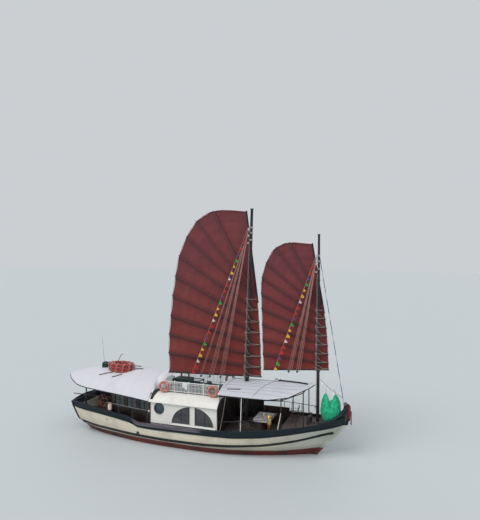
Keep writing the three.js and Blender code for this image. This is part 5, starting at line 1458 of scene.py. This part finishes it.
# %% Wheelhouse
SILL_Z, HEAD_Z = 1.93, 2.7
HANDRAIL = ((-6.15, 1.86, 2.24), (-5.2, 1.93, 2.18), (-4.2, 1.97, 2.12), (-3.1, 2.0, 2.07))
for side, word in SIDES:
    glass, casing, stanchions = Shape(), Shape(), Shape()
    face = side * 1.506
    for x in (-5.75, -4.86, -3.97):
        left, right = x - 0.02, x + 0.66
        glass.block((left, side * 1.47, SILL_Z), (right, side * 1.47 + 0.006, HEAD_Z))
        pane = [(left, face, SILL_Z), (right, face, SILL_Z), (right, face, HEAD_Z), (left, face, HEAD_Z)]
        casing.rods(zip(pane, pane[1:] + pane[:1]), 0.018)
        casing.bar([(x + 0.32, face, SILL_Z), (x + 0.32, face, HEAD_Z)], 0.012, 6)
    glass.make(f"wheelhouse_glass_{word}", "window_green", "window_glass")
    casing.make(f"wheelhouse_frames_{word}", "furniture_brown", "dark_wood")
    rail = [(x, side * y, z) for x, y, z in HANDRAIL]
    Shape().bar(rail, 0.014).make(f"aft_handrail_{word}", "steel_grey", "white_paint")
    for x, y, z in rail:
        foot = along_points(RAIL_TOP, x)
        inward = side_at(x, foot - 0.03, side)
        stanchions.bar([(x, inward - side * 0.05, foot + 0.03), (x, y, z)], 0.016)
    stanchions.make(f"aft_stanchions_{word}", "iron_dark", "iron")
corner_lamp = Shape().turned([(0.03, 0.0), (0.055, 0.02), (0.06, 0.07), (0.045, 0.12), (0.02, 0.14)],
                             (-3.0, -2.03, 2.0), sides=16)
corner_lamp.make("corner_lamp", "lamp_glow", "bronze")
holder = Shape().bar([(-2.93, -2.0, 2.12), (-3.0, -2.03, 2.16), (-3.0, -2.03, 2.13)], 0.012, 6)
holder.make("corner_lamp_arm", "iron_dark", "iron")
print("wheelhouse dressed", len(made))

# %% [markdown]
# ## The aft deck
# Pots with leaves and pink flowers stand on a planter behind the wheelhouse. Leaves are thin curved
# blades turned round a stem by the golden angle, as real shoots are, so no two overlap.

# %% Aft deck
GOLDEN = math.radians(137.5)
SHOOTS = 26
POT = ((0.09, 0), (0.12, 0.18), (0.14, 0.2), (0.14, 0.23), (0.1, 0.22))
PLANTS = ((-6.95, -1.28, 1.1), (-6.6, -1.3, 0.9), (-6.3, -1.28, 1.15), (-7.2, -1.2, 0.9), (-6.8, 1.25, 1.0),
          (-6.4, 1.3, 0.9))
leaves, petals, pots, planter = [Shape() for _ in range(4)]


def potted(foot, size, seed):
    """One plant in its pot, with the leaves' reach and rise drawn at random."""
    draws = random.Random(seed)
    pots.turned([(radius * size, rise * size) for radius, rise in POT], foot, sides=14)
    for index in range(SHOOTS):
        turn = index * GOLDEN
        lift = 0.12 + 0.42 * index / SHOOTS
        reach = (0.10 + 0.20 * draws.random()) * size
        start = foot + Vector((0, 0, 0.22 * size + lift * size * 0.6))
        tip = start + outward(turn) * reach + Vector((0, 0, (0.14 - 0.1 * draws.random()) * size))
        middle = start.lerp(tip, 0.5) + Vector((0, 0, 0.05 * size))
        across = Vector((-math.sin(turn), math.cos(turn), 0)) * 0.035 * size
        leaves.skin([[start, start], [middle - across, middle + across], [tip, tip]])
        if index % 3 == 0:
            bud = [(0.008, -0.03), (0.035 * size, 0.0), (0.028 * size, 0.02), (0.006, 0.03)]
            petals.turned(bud, tip + Vector((0, 0, 0.03)), sides=7)


for index, (x, y, size) in enumerate(PLANTS):
    potted(Vector((x, y, 1.78)), size, index + 3)
for y0, y1 in ((-1.46, -1.08), (1.06, 1.46)):
    planter.block((-7.35, y0, 1.72), (-6.1, y1, 1.77))
    for x in (-7.25, -6.2):
        for y in (y0 + 0.04, y1 - 0.04):
            planter.bar([(x, y, 1.1), (x, y, 1.73)], 0.022)
leaves.make("plant_leaves", "leaf_green", "tarp_green", angle=180)
petals.make("plant_flowers", "petal_pink", "buoy_orange")
pots.make("plant_pots", "pot_clay", "buoy_orange")
planter.make("plant_stand", "furniture_brown", "dark_wood", bevel=0.004)
print("leaf faces", len(leaves.faces))

# %% [markdown]
# ## The crate, the can and the pole
# The crate is four courses of thin boards with gaps between them and a lid, and the can that stands
# on it is one turned form. The spare pole is a spar that tapers to both ends.

# %% Crate, can and pole
CAN = [(0.11, 0.0), (0.13, 0.02), (0.13, 0.34), (0.11, 0.38), (0.05, 0.41), (0.05, 0.45), (0.02, 0.46)]
crate = Shape()
Shape().turned(CAN, (-6.0, -1.72, 1.72)).make("water_can", "buoy_white", "white_paint")
for z in (1.12, 1.3, 1.48, 1.66):
    for y in (-1.87, -1.57):
        crate.block((-6.17, y - 0.01, z), (-5.83, y + 0.01, z + 0.05))
    for x in (-6.17, -5.85):
        crate.block((x, -1.87, z), (x + 0.02, -1.57, z + 0.05))
crate.block((-6.17, -1.87, 1.70), (-5.83, -1.57, 1.72))
crate.make("deck_crate", "furniture_brown", "dark_wood")
pole = Shape().bar([(-9.9, -0.25, 2.02), (-9.2, -0.22, 2.0), (-8.0, -0.15, 1.96), (-7.0, -0.1, 1.9)],
                   [0.028, 0.034, 0.036, 0.03], 10)
pole.make("spare_pole", "dark_board", "dark_wood")
print("aft deck", len(made))

# %% [markdown]
# ## The canopy
# The canopy over the foredeck is boarded lengthwise and painted white, with a dark moulding round
# its edge. On top lie a dark spare pole held by two small trestles and a slotted vent cover. The
# moulding follows the model's own edge, which keeps it in contact all round.

# %% Canopy top
CANOPY_EDGE = [(1.42, 1.9, 3.43), (2.6, 1.9, 3.43), (3.6, 1.9, 3.43), (4.45, 1.89, 3.44), (4.85, 1.76, 3.48),
               (5.57, 1.45, 3.56), (6.28, 0.9, 3.85), (6.6, 0.54, 3.96), (6.79, 0.14, 4.05)]
EDGE_PLAN = [(x, y) for x, y, _ in CANOPY_EDGE]
MAST_X, MAST_GAP = 2.58, 0.26
edge_bar(CANOPY_EDGE, 0.022, 0.026).make("canopy_edge", "strake_dark", "dark_wood")
seams = Shape()
for y in (-1.5, -1.15, -0.8, -0.4, 0.0, 0.4, 0.8, 1.2):
    reach = next((x for x in spread(6.6, 1.6, 60) if along_points(EDGE_PLAN, x) > abs(y) + 0.1), 1.6)
    path = [point for point in lay_on(canopy_tree, (1.5, y), (reach, y), 0.006, 26)
            if math.hypot(point[0] - MAST_X, point[1]) > MAST_GAP]
    if len(path) > 3:
        seams.bar(path, 0.007, 6)
seams.make("canopy_seams", "canopy_shadow", "roof_white")
vent = Shape().bar(lay_on(canopy_tree, (1.83, -1.34), (2.64, -1.26), 0.02), 0.03, 6, flat=0.8)
vent.make("canopy_vent", "strake_dark", "dark_wood")
pole = Shape().bar(lay_on(canopy_tree, (4.35, 1.05), (6.4, -0.15), 0.05), 0.042, 10)
pole.make("canopy_pole", "strake_dark", "dark_wood")
trestles = Shape()
for x, y in ((4.15, 1.25), (4.6, 0.5)):
    z = roof_z(canopy_tree, x, y)
    for side in (-1, 1):
        trestles.bar([(x + side * 0.16, y, z + 0.005), (x, y, z + 0.17)], 0.016, 6)
    trestles.bar([(x - 0.09, y, z + 0.075), (x + 0.09, y, z + 0.075)], 0.012, 6)
trestles.make("canopy_trestles", "iron_dark", "iron")
lines = Shape()
lines.bar(lay_on(canopy_tree, (3.55, -1.75), (4.35, 0.6), 0.008, 16), 0.009, 6)
lines.bar(lay_on(canopy_tree, (1.62, -1.2), (1.7, 1.2), 0.008, 16), 0.008, 6)
lines.make("canopy_lines", "rope_dark", "rope")
print("canopy dressed", len(made))

# %% [markdown]
# ## Under the canopy
# Below the canopy are light posts and a guy that slants down to the cap. Their feet are set a little
# inboard of the planking that a ray finds, so they stand on the cap and not beside it.

# %% Posts and guys
posts, guys = Shape(), Shape()
for side in (-1, 1):
    top_y = side * 1.86
    foot_y = side_at(2.91, 1.45, side) - side * 0.05
    posts.bar([(2.91, foot_y, 1.52), (2.91, (foot_y + top_y) / 2, 2.4), (2.91, top_y, 3.41)], 0.022, 10)
    foot_y = side_at(5.0, 1.68, side) - side * 0.06
    posts.bar([(5.0, foot_y, 1.74), (5.08, side * 1.51, 2.3), (5.14, side * 1.5, 2.64)], 0.02, 10)
    foot_y = side_at(1.68, 1.35, side) - side * 0.05
    guys.bar([(1.68, foot_y, 1.40), (1.79, side * 1.99, 2.2), (1.96, side * 1.87, 3.41)], 0.009, 6)
posts.make("light_posts", "rail_white", "white_paint")
guys.make("side_guys", "rope_pale", "rope")
print("posts and guys", len(made))

# %% [markdown]
# ## The table and its linen
# The linen is one sheet: flat on the table and bent over its two long edges, with folds that open
# below the bend. The dishes are turned forms that stand on it.

# %% Table linen
low, high = corners("saloon_table")
top = high.z + 0.004
DROP = 0.17
rows = []
for along in spread(-DROP, high.x - low.x - 0.2 + DROP, 40):
    row = []
    for across in spread(-DROP, high.y - low.y + DROP, 44):
        x = low.x + 0.1 + along
        y = low.y + across
        over = max(0.0, -across, across - (high.y - low.y))
        wave = 0.012 * math.sin(along * 26) * min(1, over / 0.05)
        y = min(max(y, low.y - 0.012), high.y + 0.012)
        side = -1 if across < 0 else 1
        y += side * (wave + 0.02 * over / DROP) if over else 0
        row.append((min(max(x, low.x + 0.08), high.x - 0.1), y, top - over))
    rows.append(row)
trimmed = [row for row in rows if low.x + 0.09 < row[0][0] < high.x - 0.11]
linen = Shape().skin(trimmed).make("table_linen", "table_linen", "sail_cloth", angle=180)
linen_long = trimmed[-1][0][0] - trimmed[0][0][0]
dishes = Shape()
for x, y, size in ((3.5, -0.6, 0.11), (3.95, -0.5, 0.1), (3.6, 0.1, 0.11), (4.05, 0.15, 0.1)):
    plate = [(size * 0.5, 0.004), (size, 0.03), (size * 1.02, 0.034), (size * 0.5, 0.016), (0.005, 0.014)]
    dishes.turned(plate, (x, y, top))
jug = [(0.05, 0.003), (0.07, 0.05), (0.05, 0.13), (0.03, 0.17), (0.035, 0.19), (0.02, 0.19)]
dishes.turned(jug, (3.75, -0.2, top), sides=18)
dishes.make("table_dishes", "lamp_white", "white_paint")
print("linen", round(high.y - low.y + 2 * DROP, 2), "x", round(linen_long, 2))

# %% [markdown]
# ## Chairs and lantern
# The chairs are dark folding wood: crossed legs, a slatted seat and a leaning back. One function
# makes a chair in its own frame and turns it into place. The lantern is turned brass on a stepped
# foot, with a glass barrel and a domed cap.

# %% Chairs and lantern
def chair(shape, x, y, floor, turn):
    spin = Matrix.Rotation(turn, 4, "Z")

    def put(a, b, c):
        return Vector((x, y, floor)) + spin @ Vector((a, b, c))

    for side in (-0.21, 0.21):
        shape.bar([put(-0.2, side, 0.01), put(0.22, side, 0.44)], 0.016, 6)
        near = side * 0.92
        shape.bar([put(0.22, near, 0.01), put(-0.2, near, 0.44), put(-0.3, near, 0.86)], 0.016, 6)
        shape.bar([put(-0.24, side, 0.62), put(0.2, side, 0.62), put(0.22, side, 0.44)], 0.014, 6)
    for slat in spread(-0.18, 0.2, 6):
        shape.bar([put(slat, -0.2, 0.45), put(slat, 0.2, 0.45)], 0.028, 6, flat=0.4)
    for rise in spread(0.55, 0.84, 4):
        back = -0.2 - 0.1 * (rise - 0.44) / 0.42
        shape.bar([put(back, -0.2, rise), put(back, 0.2, rise)], 0.026, 6, flat=0.45)


LANTERN = Vector((4.47, -1.55, 1.1))
STEPPED_FOOT = [(0.15, 0.0), (0.16, 0.04), (0.13, 0.07), (0.11, 0.12), (0.1, 0.5), (0.105, 0.78),
                (0.12, 0.84), (0.13, 0.88), (0.12, 0.9)]
DOMED_CAP = [(0.13, 1.24), (0.14, 1.26), (0.1, 1.33), (0.05, 1.38), (0.02, 1.42)]
BARREL = [(0.08, 0.9), (0.1, 0.96), (0.105, 1.1), (0.095, 1.22), (0.08, 1.25)]
standing = tree_of("foredeck", "deck")
seats = Shape()
for x, y, turn in ((5.45, 0.55, 3.4), (5.75, -0.35, 2.6), (2.75, -1.25, 1.7), (3.2, -1.45, 1.5)):
    chair(seats, x, y, roof_z(standing, x, y), turn)
seats.make("folding_chairs", "furniture_brown", "dark_wood")
lantern = Shape().turned(STEPPED_FOOT, LANTERN, sides=24).turned(DOMED_CAP, LANTERN, sides=24)
for turn in around(6):
    spot = LANTERN + outward(turn) * 0.115
    lantern.bar([spot + Vector((0, 0, 0.88)), spot + Vector((0, 0, 1.26))], 0.008, 6)
lantern.make("brass_lantern", "brass_gold", "bronze")
Shape().turned(BARREL, LANTERN).make("lantern_glass", "lamp_glow", "window_glass")
print("saloon dressed", len(made))

# %% [markdown]
# ## The bow
# Heavy dark timbers sweep up from the rails to the tall bow head, whose front carries a dark red
# board. The anchor hangs at its roller with its chain led aft to the windlass. A chain is modelled
# here as alternating rings along a line, because its links are large enough to see.

# %% Bow
TIMBER_AFT = ((7.2, 0.06), (7.6, 0.08), (8.0, 0.13))
TIMBER_HEAD = ((8.3, 0.26, 0.22), (8.55, 0.2, 0.42), (8.72, 0.15, 0.66))
wings = Shape()
for side in (-1, 1):
    path = []
    for x, lift in TIMBER_AFT:
        rail_z = along_points(RAIL_TOP, x)
        path.append((x, side_at(x, rail_z - 0.04, side) - side * 0.03, rail_z + lift))
    for x, y, lift in TIMBER_HEAD:
        path.append((x, side * y, along_points(RAIL_TOP, x) + lift))
    wings.bar(path, [0.05, 0.065, 0.08, 0.09, 0.085, 0.06], 10)
wings.make("bow_timbers", "sheer_navy", "navy_paint")
BOW_BOARD = [(0.0, 2.12), (0.10, 2.2), (0.17, 2.45), (0.19, 2.7), (0.14, 2.92), (0.05, 3.02), (-0.05, 3.02),
             (-0.14, 2.92), (-0.19, 2.7), (-0.17, 2.45), (-0.10, 2.2)]
face = Shape().plate([(8.72 + 0.02 * math.sin((z - 2.1) * 3), y, z) for y, z in BOW_BOARD], (0.10, 0, 0))
face.make("bow_face", "bow_red", "dark_wood", bevel=0.015)
crown = Shape().turned([(0.1, 0.0), (0.13, 0.04), (0.12, 0.1), (0.07, 0.15), (0.02, 0.17)],
                       (8.56, 0.0, corners("bow_head")[1].z - 0.02), sides=18)
crown.make("bow_crown", "cap_grey", "dark_wood")
LINKS = 44
chain = Shape()
end = Vector((8.6, -0.12, 2.32))
wind_high = corners("windlass")[1]
start = Vector((wind_high.x + 0.02, 0.05, wind_high.z - 0.14))
for index, share in enumerate(spread(0, 1, LINKS)):
    spot = start.lerp(end, share) - Vector((0, 0, 0.22 * math.sin(math.pi * share)))
    chain.ring(spot, 0.026, 0.008, "Y" if index % 2 else "Z", 10, 6, (1.3, 0.8))
chain.make("anchor_chain", "iron_dark", "iron")
BITT = [(0.05, -0.01), (0.045, 0.1), (0.06, 0.13), (0.055, 0.16), (0.02, 0.17)]
bitts = Shape()
for side in (-1, 1):
    for x in (7.05, -8.0):
        y = side_at(x, along_points(RAIL_TOP, x) - 0.05, side) - side * 0.04
        z = along_points(RAIL_TOP, x) + 0.04
        bitts.turned(BITT, (x, y, z), sides=14)
bitts.make("mooring_bitts", "iron_dark", "iron")
print("bow dressed", len(made))

# %% [markdown]
# ## Lamps on a line
# Three small white lamps hang on a line from the fore mast to the forestay. The line sags a little
# under them, and each lamp is a turned shade on a short drop.

# %% Bow lamps
mast_end, stay_end = Vector((7.06, 0.0, 4.42)), Vector((8.40, 0.0, 3.42))
LAMP_SAG = 0.10
LAMP = [(0.012, 0.0), (0.02, -0.03), (0.06, -0.07), (0.07, -0.14), (0.045, -0.2), (0.01, -0.21)]


def on_lamp_line(share, below=0.0):
    return mast_end.lerp(stay_end, share) - Vector((0, 0, LAMP_SAG * math.sin(math.pi * share) + below))


line = Shape().bar([on_lamp_line(share) for share in spread(0, 1, 14)], 0.009, 6)
line.make("lamp_line", "rope_dark", "rope")
lamps = Shape()
for share in (0.14, 0.36, 0.62):
    lamps.turned(LAMP, on_lamp_line(share, 0.01), sides=16)
lamps.make("bow_lamps", "lamp_white", "white_paint")
print("lamps on a line", len(made))

# %% [markdown]
# ## The forestay
# The forestay is a rope served in bands of white and blue. Two pieces alternate along one line, a
# little thicker than the bare rope.

# %% Forestay
STAY_TOP, STAY_FOOT = Vector((7.02, 0.0, 11.84)), Vector((8.485, 0.0, 2.98))
white, blue = Shape(), Shape()
BANDS = 22
for band in range(BANDS):
    first = STAY_TOP.lerp(STAY_FOOT, band / BANDS)
    last = STAY_TOP.lerp(STAY_FOOT, (band + 1) / BANDS)
    (blue if band % 3 else white).bar([first, first.lerp(last, 0.5), last], 0.019, 8)
white.make("forestay_white", "rope_pale", "rope", stands_for=["forestay"])
blue.make("forestay_blue", "rope_blue", "rope")
print("stay", BANDS, "bands")

# %% [markdown]
# ## Lifts and blocks
# Topping lifts hold up the boom, and finer quarter lines run from the same place on the mast to the
# battens. They turn with the sail, so they ride on its body and start close to the mast's axis. They
# are straight because they are taut. Blocks hang under the boom. The iron bands and the head blocks
# sit on the mast and stay with the hull.

# %% Lifts and blocks
MASTS = {"main": ((2.512, 1.1, 0.14), (2.94, 14.4, 0.08)), "fore": ((6.95, 1.92, 0.105), (7.04, 12.8, 0.065))}
LIFTS = {
    "main": {"top": 13.25, "feet": [(0.1, 3.99), (0.3, 4.0), (0.82, 4.03), (1.0, 4.03), (-0.5, 3.97)],
             "flags": (-1.13, 3.99), "flag_count": 23},
    "fore": {"top": 11.55, "feet": [(5.2, 4.71), (5.35, 4.72), (5.72, 4.75), (5.86, 4.76)],
             "flags": (4.3, 4.66), "flag_count": 19},
}
STRANDS = (-0.045, 0.045)
BOOM_BLOCK = [(0.02, -0.05), (0.06, -0.045), (0.065, 0.0), (0.06, 0.045), (0.02, 0.05)]
MAST_BAND = ((0.004, -0.05), (0.02, -0.045), (0.02, 0.045), (0.004, 0.05))


def mast_at(word, z):
    """The mast's x and radius at a height."""
    (x0, z0, r0), (x1, z1, r1) = MASTS[word]
    share = (z - z0) / (z1 - z0)
    return x0 + (x1 - x0) * share, r0 + (r1 - r0) * share


for word, plan in SAILS.items():
    body = f"{word}_sail"
    top, feet = LIFTS[word]["top"], LIFTS[word]["feet"]
    x, radius = mast_at(word, top)
    head = plan["head"] = Vector((x - radius - 0.05, -0.09, top))
    near_y = plan["y"] - 0.13
    ropes, fine, blocks, bands, tackle = [Shape() for _ in range(5)]
    for index, (x, z) in enumerate(feet):
        start = head + Vector((0, -0.02 * index, -0.06 * index))
        for beside in STRANDS:
            foot = Vector((x + beside, near_y, z + 0.03))
            ropes.bar([start, foot.lerp(start, 0.5) + Vector((0, -0.02, 0)), foot,
                       foot + Vector((0.01, 0.06, -0.09))], 0.011, 6)
    ropes.make(f"{word}_topping_lifts", "rope_pink", "rope", body)
    for index, (fore, aft) in enumerate(plan["spars"][1:5]):
        spot = Vector(fore).lerp(Vector(aft), 0.42 + 0.05 * index)
        fine.bar([head - Vector((0, 0.02, 0.35)), (spot.x, near_y, spot.y)], 0.007, 6)
    fine.make(f"{word}_quarter_lines", "rope_dark", "rope", body)
    for x, z in feet[::2]:
        blocks.turned(BOOM_BLOCK, (x, near_y, z - 0.07), "Y", 14)
    blocks.make(f"{word}_boom_blocks", "iron_dark", "iron", body)
    for drop in (0.0, 0.32, 0.75):
        x, radius = mast_at(word, top - drop)
        bands.turned([(radius + out, rise) for out, rise in MAST_BAND], (x, 0, top - drop), sides=22)
    bands.make(f"{word}_mast_bands", "steel_grey", "iron")
    for drop, size in ((0.12, 0.07), (0.5, 0.06), (0.95, 0.05)):
        x, radius = mast_at(word, top - drop)
        tackle.turned([(0.02, -0.04), (size, -0.035), (size * 1.08, 0.0), (size, 0.035), (0.02, 0.04)],
                      (x - radius - 0.05, -radius * 0.7 - 0.05, top - drop), "Y", 14)
    tackle.make(f"{word}_head_blocks", "rope_pale", "rope")
print("lifts and blocks", len(made))

# %% [markdown]
# ## Parrels
# A parrel is a rope that holds a batten to the mast and still lets the sail turn. From the end of
# each batten one line passes round the mast to the batten's inner side, and a second one runs down
# behind the mast to the batten below. A last line joins them along the luff.

# %% Parrels
for word, plan in SAILS.items():
    parrels = Shape()
    last = None
    for fore, _ in plan["spars"][:-3]:
        z = fore[1] + 0.05
        x, radius = mast_at(word, z)
        clear = radius + 0.055
        edge = Vector((fore[0] - 0.03, plan["y"] - 0.05, z))
        batten = (x - clear - 0.05, plan["y"] - 0.07, z + 0.06)
        parrels.bar([edge, (x + clear, -0.10, z + 0.01), (x + clear * 0.5, -clear, z + 0.02),
                     (x - clear * 0.6, -clear, z + 0.03), (x - clear - 0.02, -0.05, z + 0.05), batten],
                    0.009, 6)
        if last is not None:
            below_x, below_radius = mast_at(word, last.z)
            reach = below_radius + 0.08
            parrels.bar([(x - clear - 0.03, -0.06, z + 0.02), (x - clear * 0.5, -clear - 0.03, z - 0.1),
                         (below_x + reach * 0.6, -reach - 0.02, last.z + 0.22),
                         (below_x + reach + 0.05, -0.1, last.z + 0.1), last], 0.007, 6)
        last = edge
    parrels.bar([(x, plan["y"] - 0.03, z) for x, z in plan["luff"]], 0.009, 6)
    parrels.make(f"{word}_parrels", "rope_pale", "rope", f"{word}_sail")
print("parrels", len(made))

# %% [markdown]
# ## Strings of small flags
# A line with a row of small flags runs from each masthead to the boom's end. A flag narrows downward
# and flutters a little, each by its own number. All flags of one colour make one piece, and the
# area of their cloth is summed.

# %% Flags
FLAG_TONES = ["flag_red", "flag_yellow", "flag_green", "flag_red", "flag_white", "flag_yellow", "flag_purple"]
FLAG_CELLS = 5


def pennant(spot, along, grow, number):
    """The rows of one flag, from its line down to its tip."""
    wide, tall = 0.25 * grow, 0.22 * grow
    rows = []
    for drop in spread(0, 1, FLAG_CELLS + 1):
        row = []
        for step in spread(-0.5, 0.5, FLAG_CELLS + 1):
            flutter = 0.02 * math.sin(step * 6 + number * 1.3) * drop
            row.append(spot + along * (step * wide * (1 - 0.55 * drop))
                       + Vector((0.85 * tall * drop, -0.01 + flutter, -0.5 * tall * drop)))
        rows.append(row)
    return rows


for word, plan in SAILS.items():
    body = f"{word}_sail"
    begin = plan["head"] + Vector((0, -0.05, 0.05))
    foot_x, foot_z = LIFTS[word]["flags"]
    end = Vector((foot_x, plan["y"] - 0.16, foot_z))
    along = (end - begin).normalized()
    string = Shape().bar([begin.lerp(end, share) for share in spread(0, 1, 12)], 0.007, 6)
    string.bar([end, end + Vector((0.0, 0.1, -0.05))], 0.007, 6)
    string.make(f"{word}_flag_line", "rope_pale", "rope", body)
    for hue in sorted(set(FLAG_TONES)):
        flags = Shape()
        area = 0.0
        for index, share in enumerate(spread(0.10, 0.985, LIFTS[word]["flag_count"])):
            if FLAG_TONES[(index * 3) % len(FLAG_TONES)] != hue:
                continue
            grow = (0.75 + 0.35 * share) * (0.9 + 0.12 * math.sin(index * 2.7))
            rows = pennant(begin.lerp(end, share), along, grow, index)
            flags.skin(rows)
            area += sum((upper[c + 1] - upper[c]).cross(lower[c] - upper[c]).length
                        for upper, lower in zip(rows, rows[1:]) for c in range(FLAG_CELLS))
        piece = flags.make(f"{word}_flags_{hue[5:]}", hue, "sail_cloth", body, angle=180)

# %% [markdown]
# ## Halyards
# The halyards come down beside each mast to cleats near its foot and stay with the hull. They stand
# off the mast by a hand's width. A cleat is a short horned bar on a base.

# %% Halyards
HALYARD_TURNS = (3.5, 4.3)
CLEAT_Z = {"main": 1.95, "fore": 2.75}
HORN = Vector((0, 0, 0.12))
for word, foot in CLEAT_Z.items():
    halyards, cleats = Shape(), Shape()
    for turn in HALYARD_TURNS:
        path = []
        for z in spread(LIFTS[word]["top"] + 0.1, foot, 12):
            x, radius = mast_at(word, z)
            path.append(Vector((x, 0, z)) + outward(turn) * (radius + 0.035))
        halyards.bar(path, 0.005, 6)
        x, radius = mast_at(word, foot)
        out = outward(turn)
        spot = Vector((x, 0, foot)) + out * (radius + 0.01)
        cleats.bar([spot, spot + out * 0.03], 0.02)
        cleats.bar([spot + out * 0.035 - HORN, spot + out * 0.04, spot + out * 0.035 + HORN],
                   [0.009, 0.016, 0.009])
    halyards.make(f"{word}_halyards", "rope_pale", "rope")
    cleats.make(f"{word}_cleats", "iron_dark", "iron")
    tip = MASTS[word][1][1]
    x, radius = mast_at(word, tip)
    truck = Shape()
    truck.turned([(radius + 0.01, -0.06), (radius + 0.025, -0.04), (radius + 0.02, 0.0)], (x, 0, tip))
    truck.make(f"{word}_truck", "strake_dark", "mast_paint")
print("rigging done", len(made))

# %% [markdown]
# ## The floor
# The floor lies at the waterline, which covers the red bottom just up to the line where it is
# painted, and it reaches far enough to fill the picture behind the boat.

# %% Floor
REACH = 260
shade = Recipe("floor_pale")
floor_mesh = bpy.data.meshes.new("floor")
floor_mesh.from_pydata([(-REACH, -REACH, 0), (REACH, -REACH, 0), (REACH, REACH, 0), (-REACH, REACH, 0)], [],
                       [(0, 1, 2, 3)])
floor_mesh.materials.append(
    shade.cover(shade.mix(shade.noise(6.0, 3) * 0.15, tone(196, 202, 204), tone(182, 190, 192)), 0.55))
show("floor", floor_mesh)
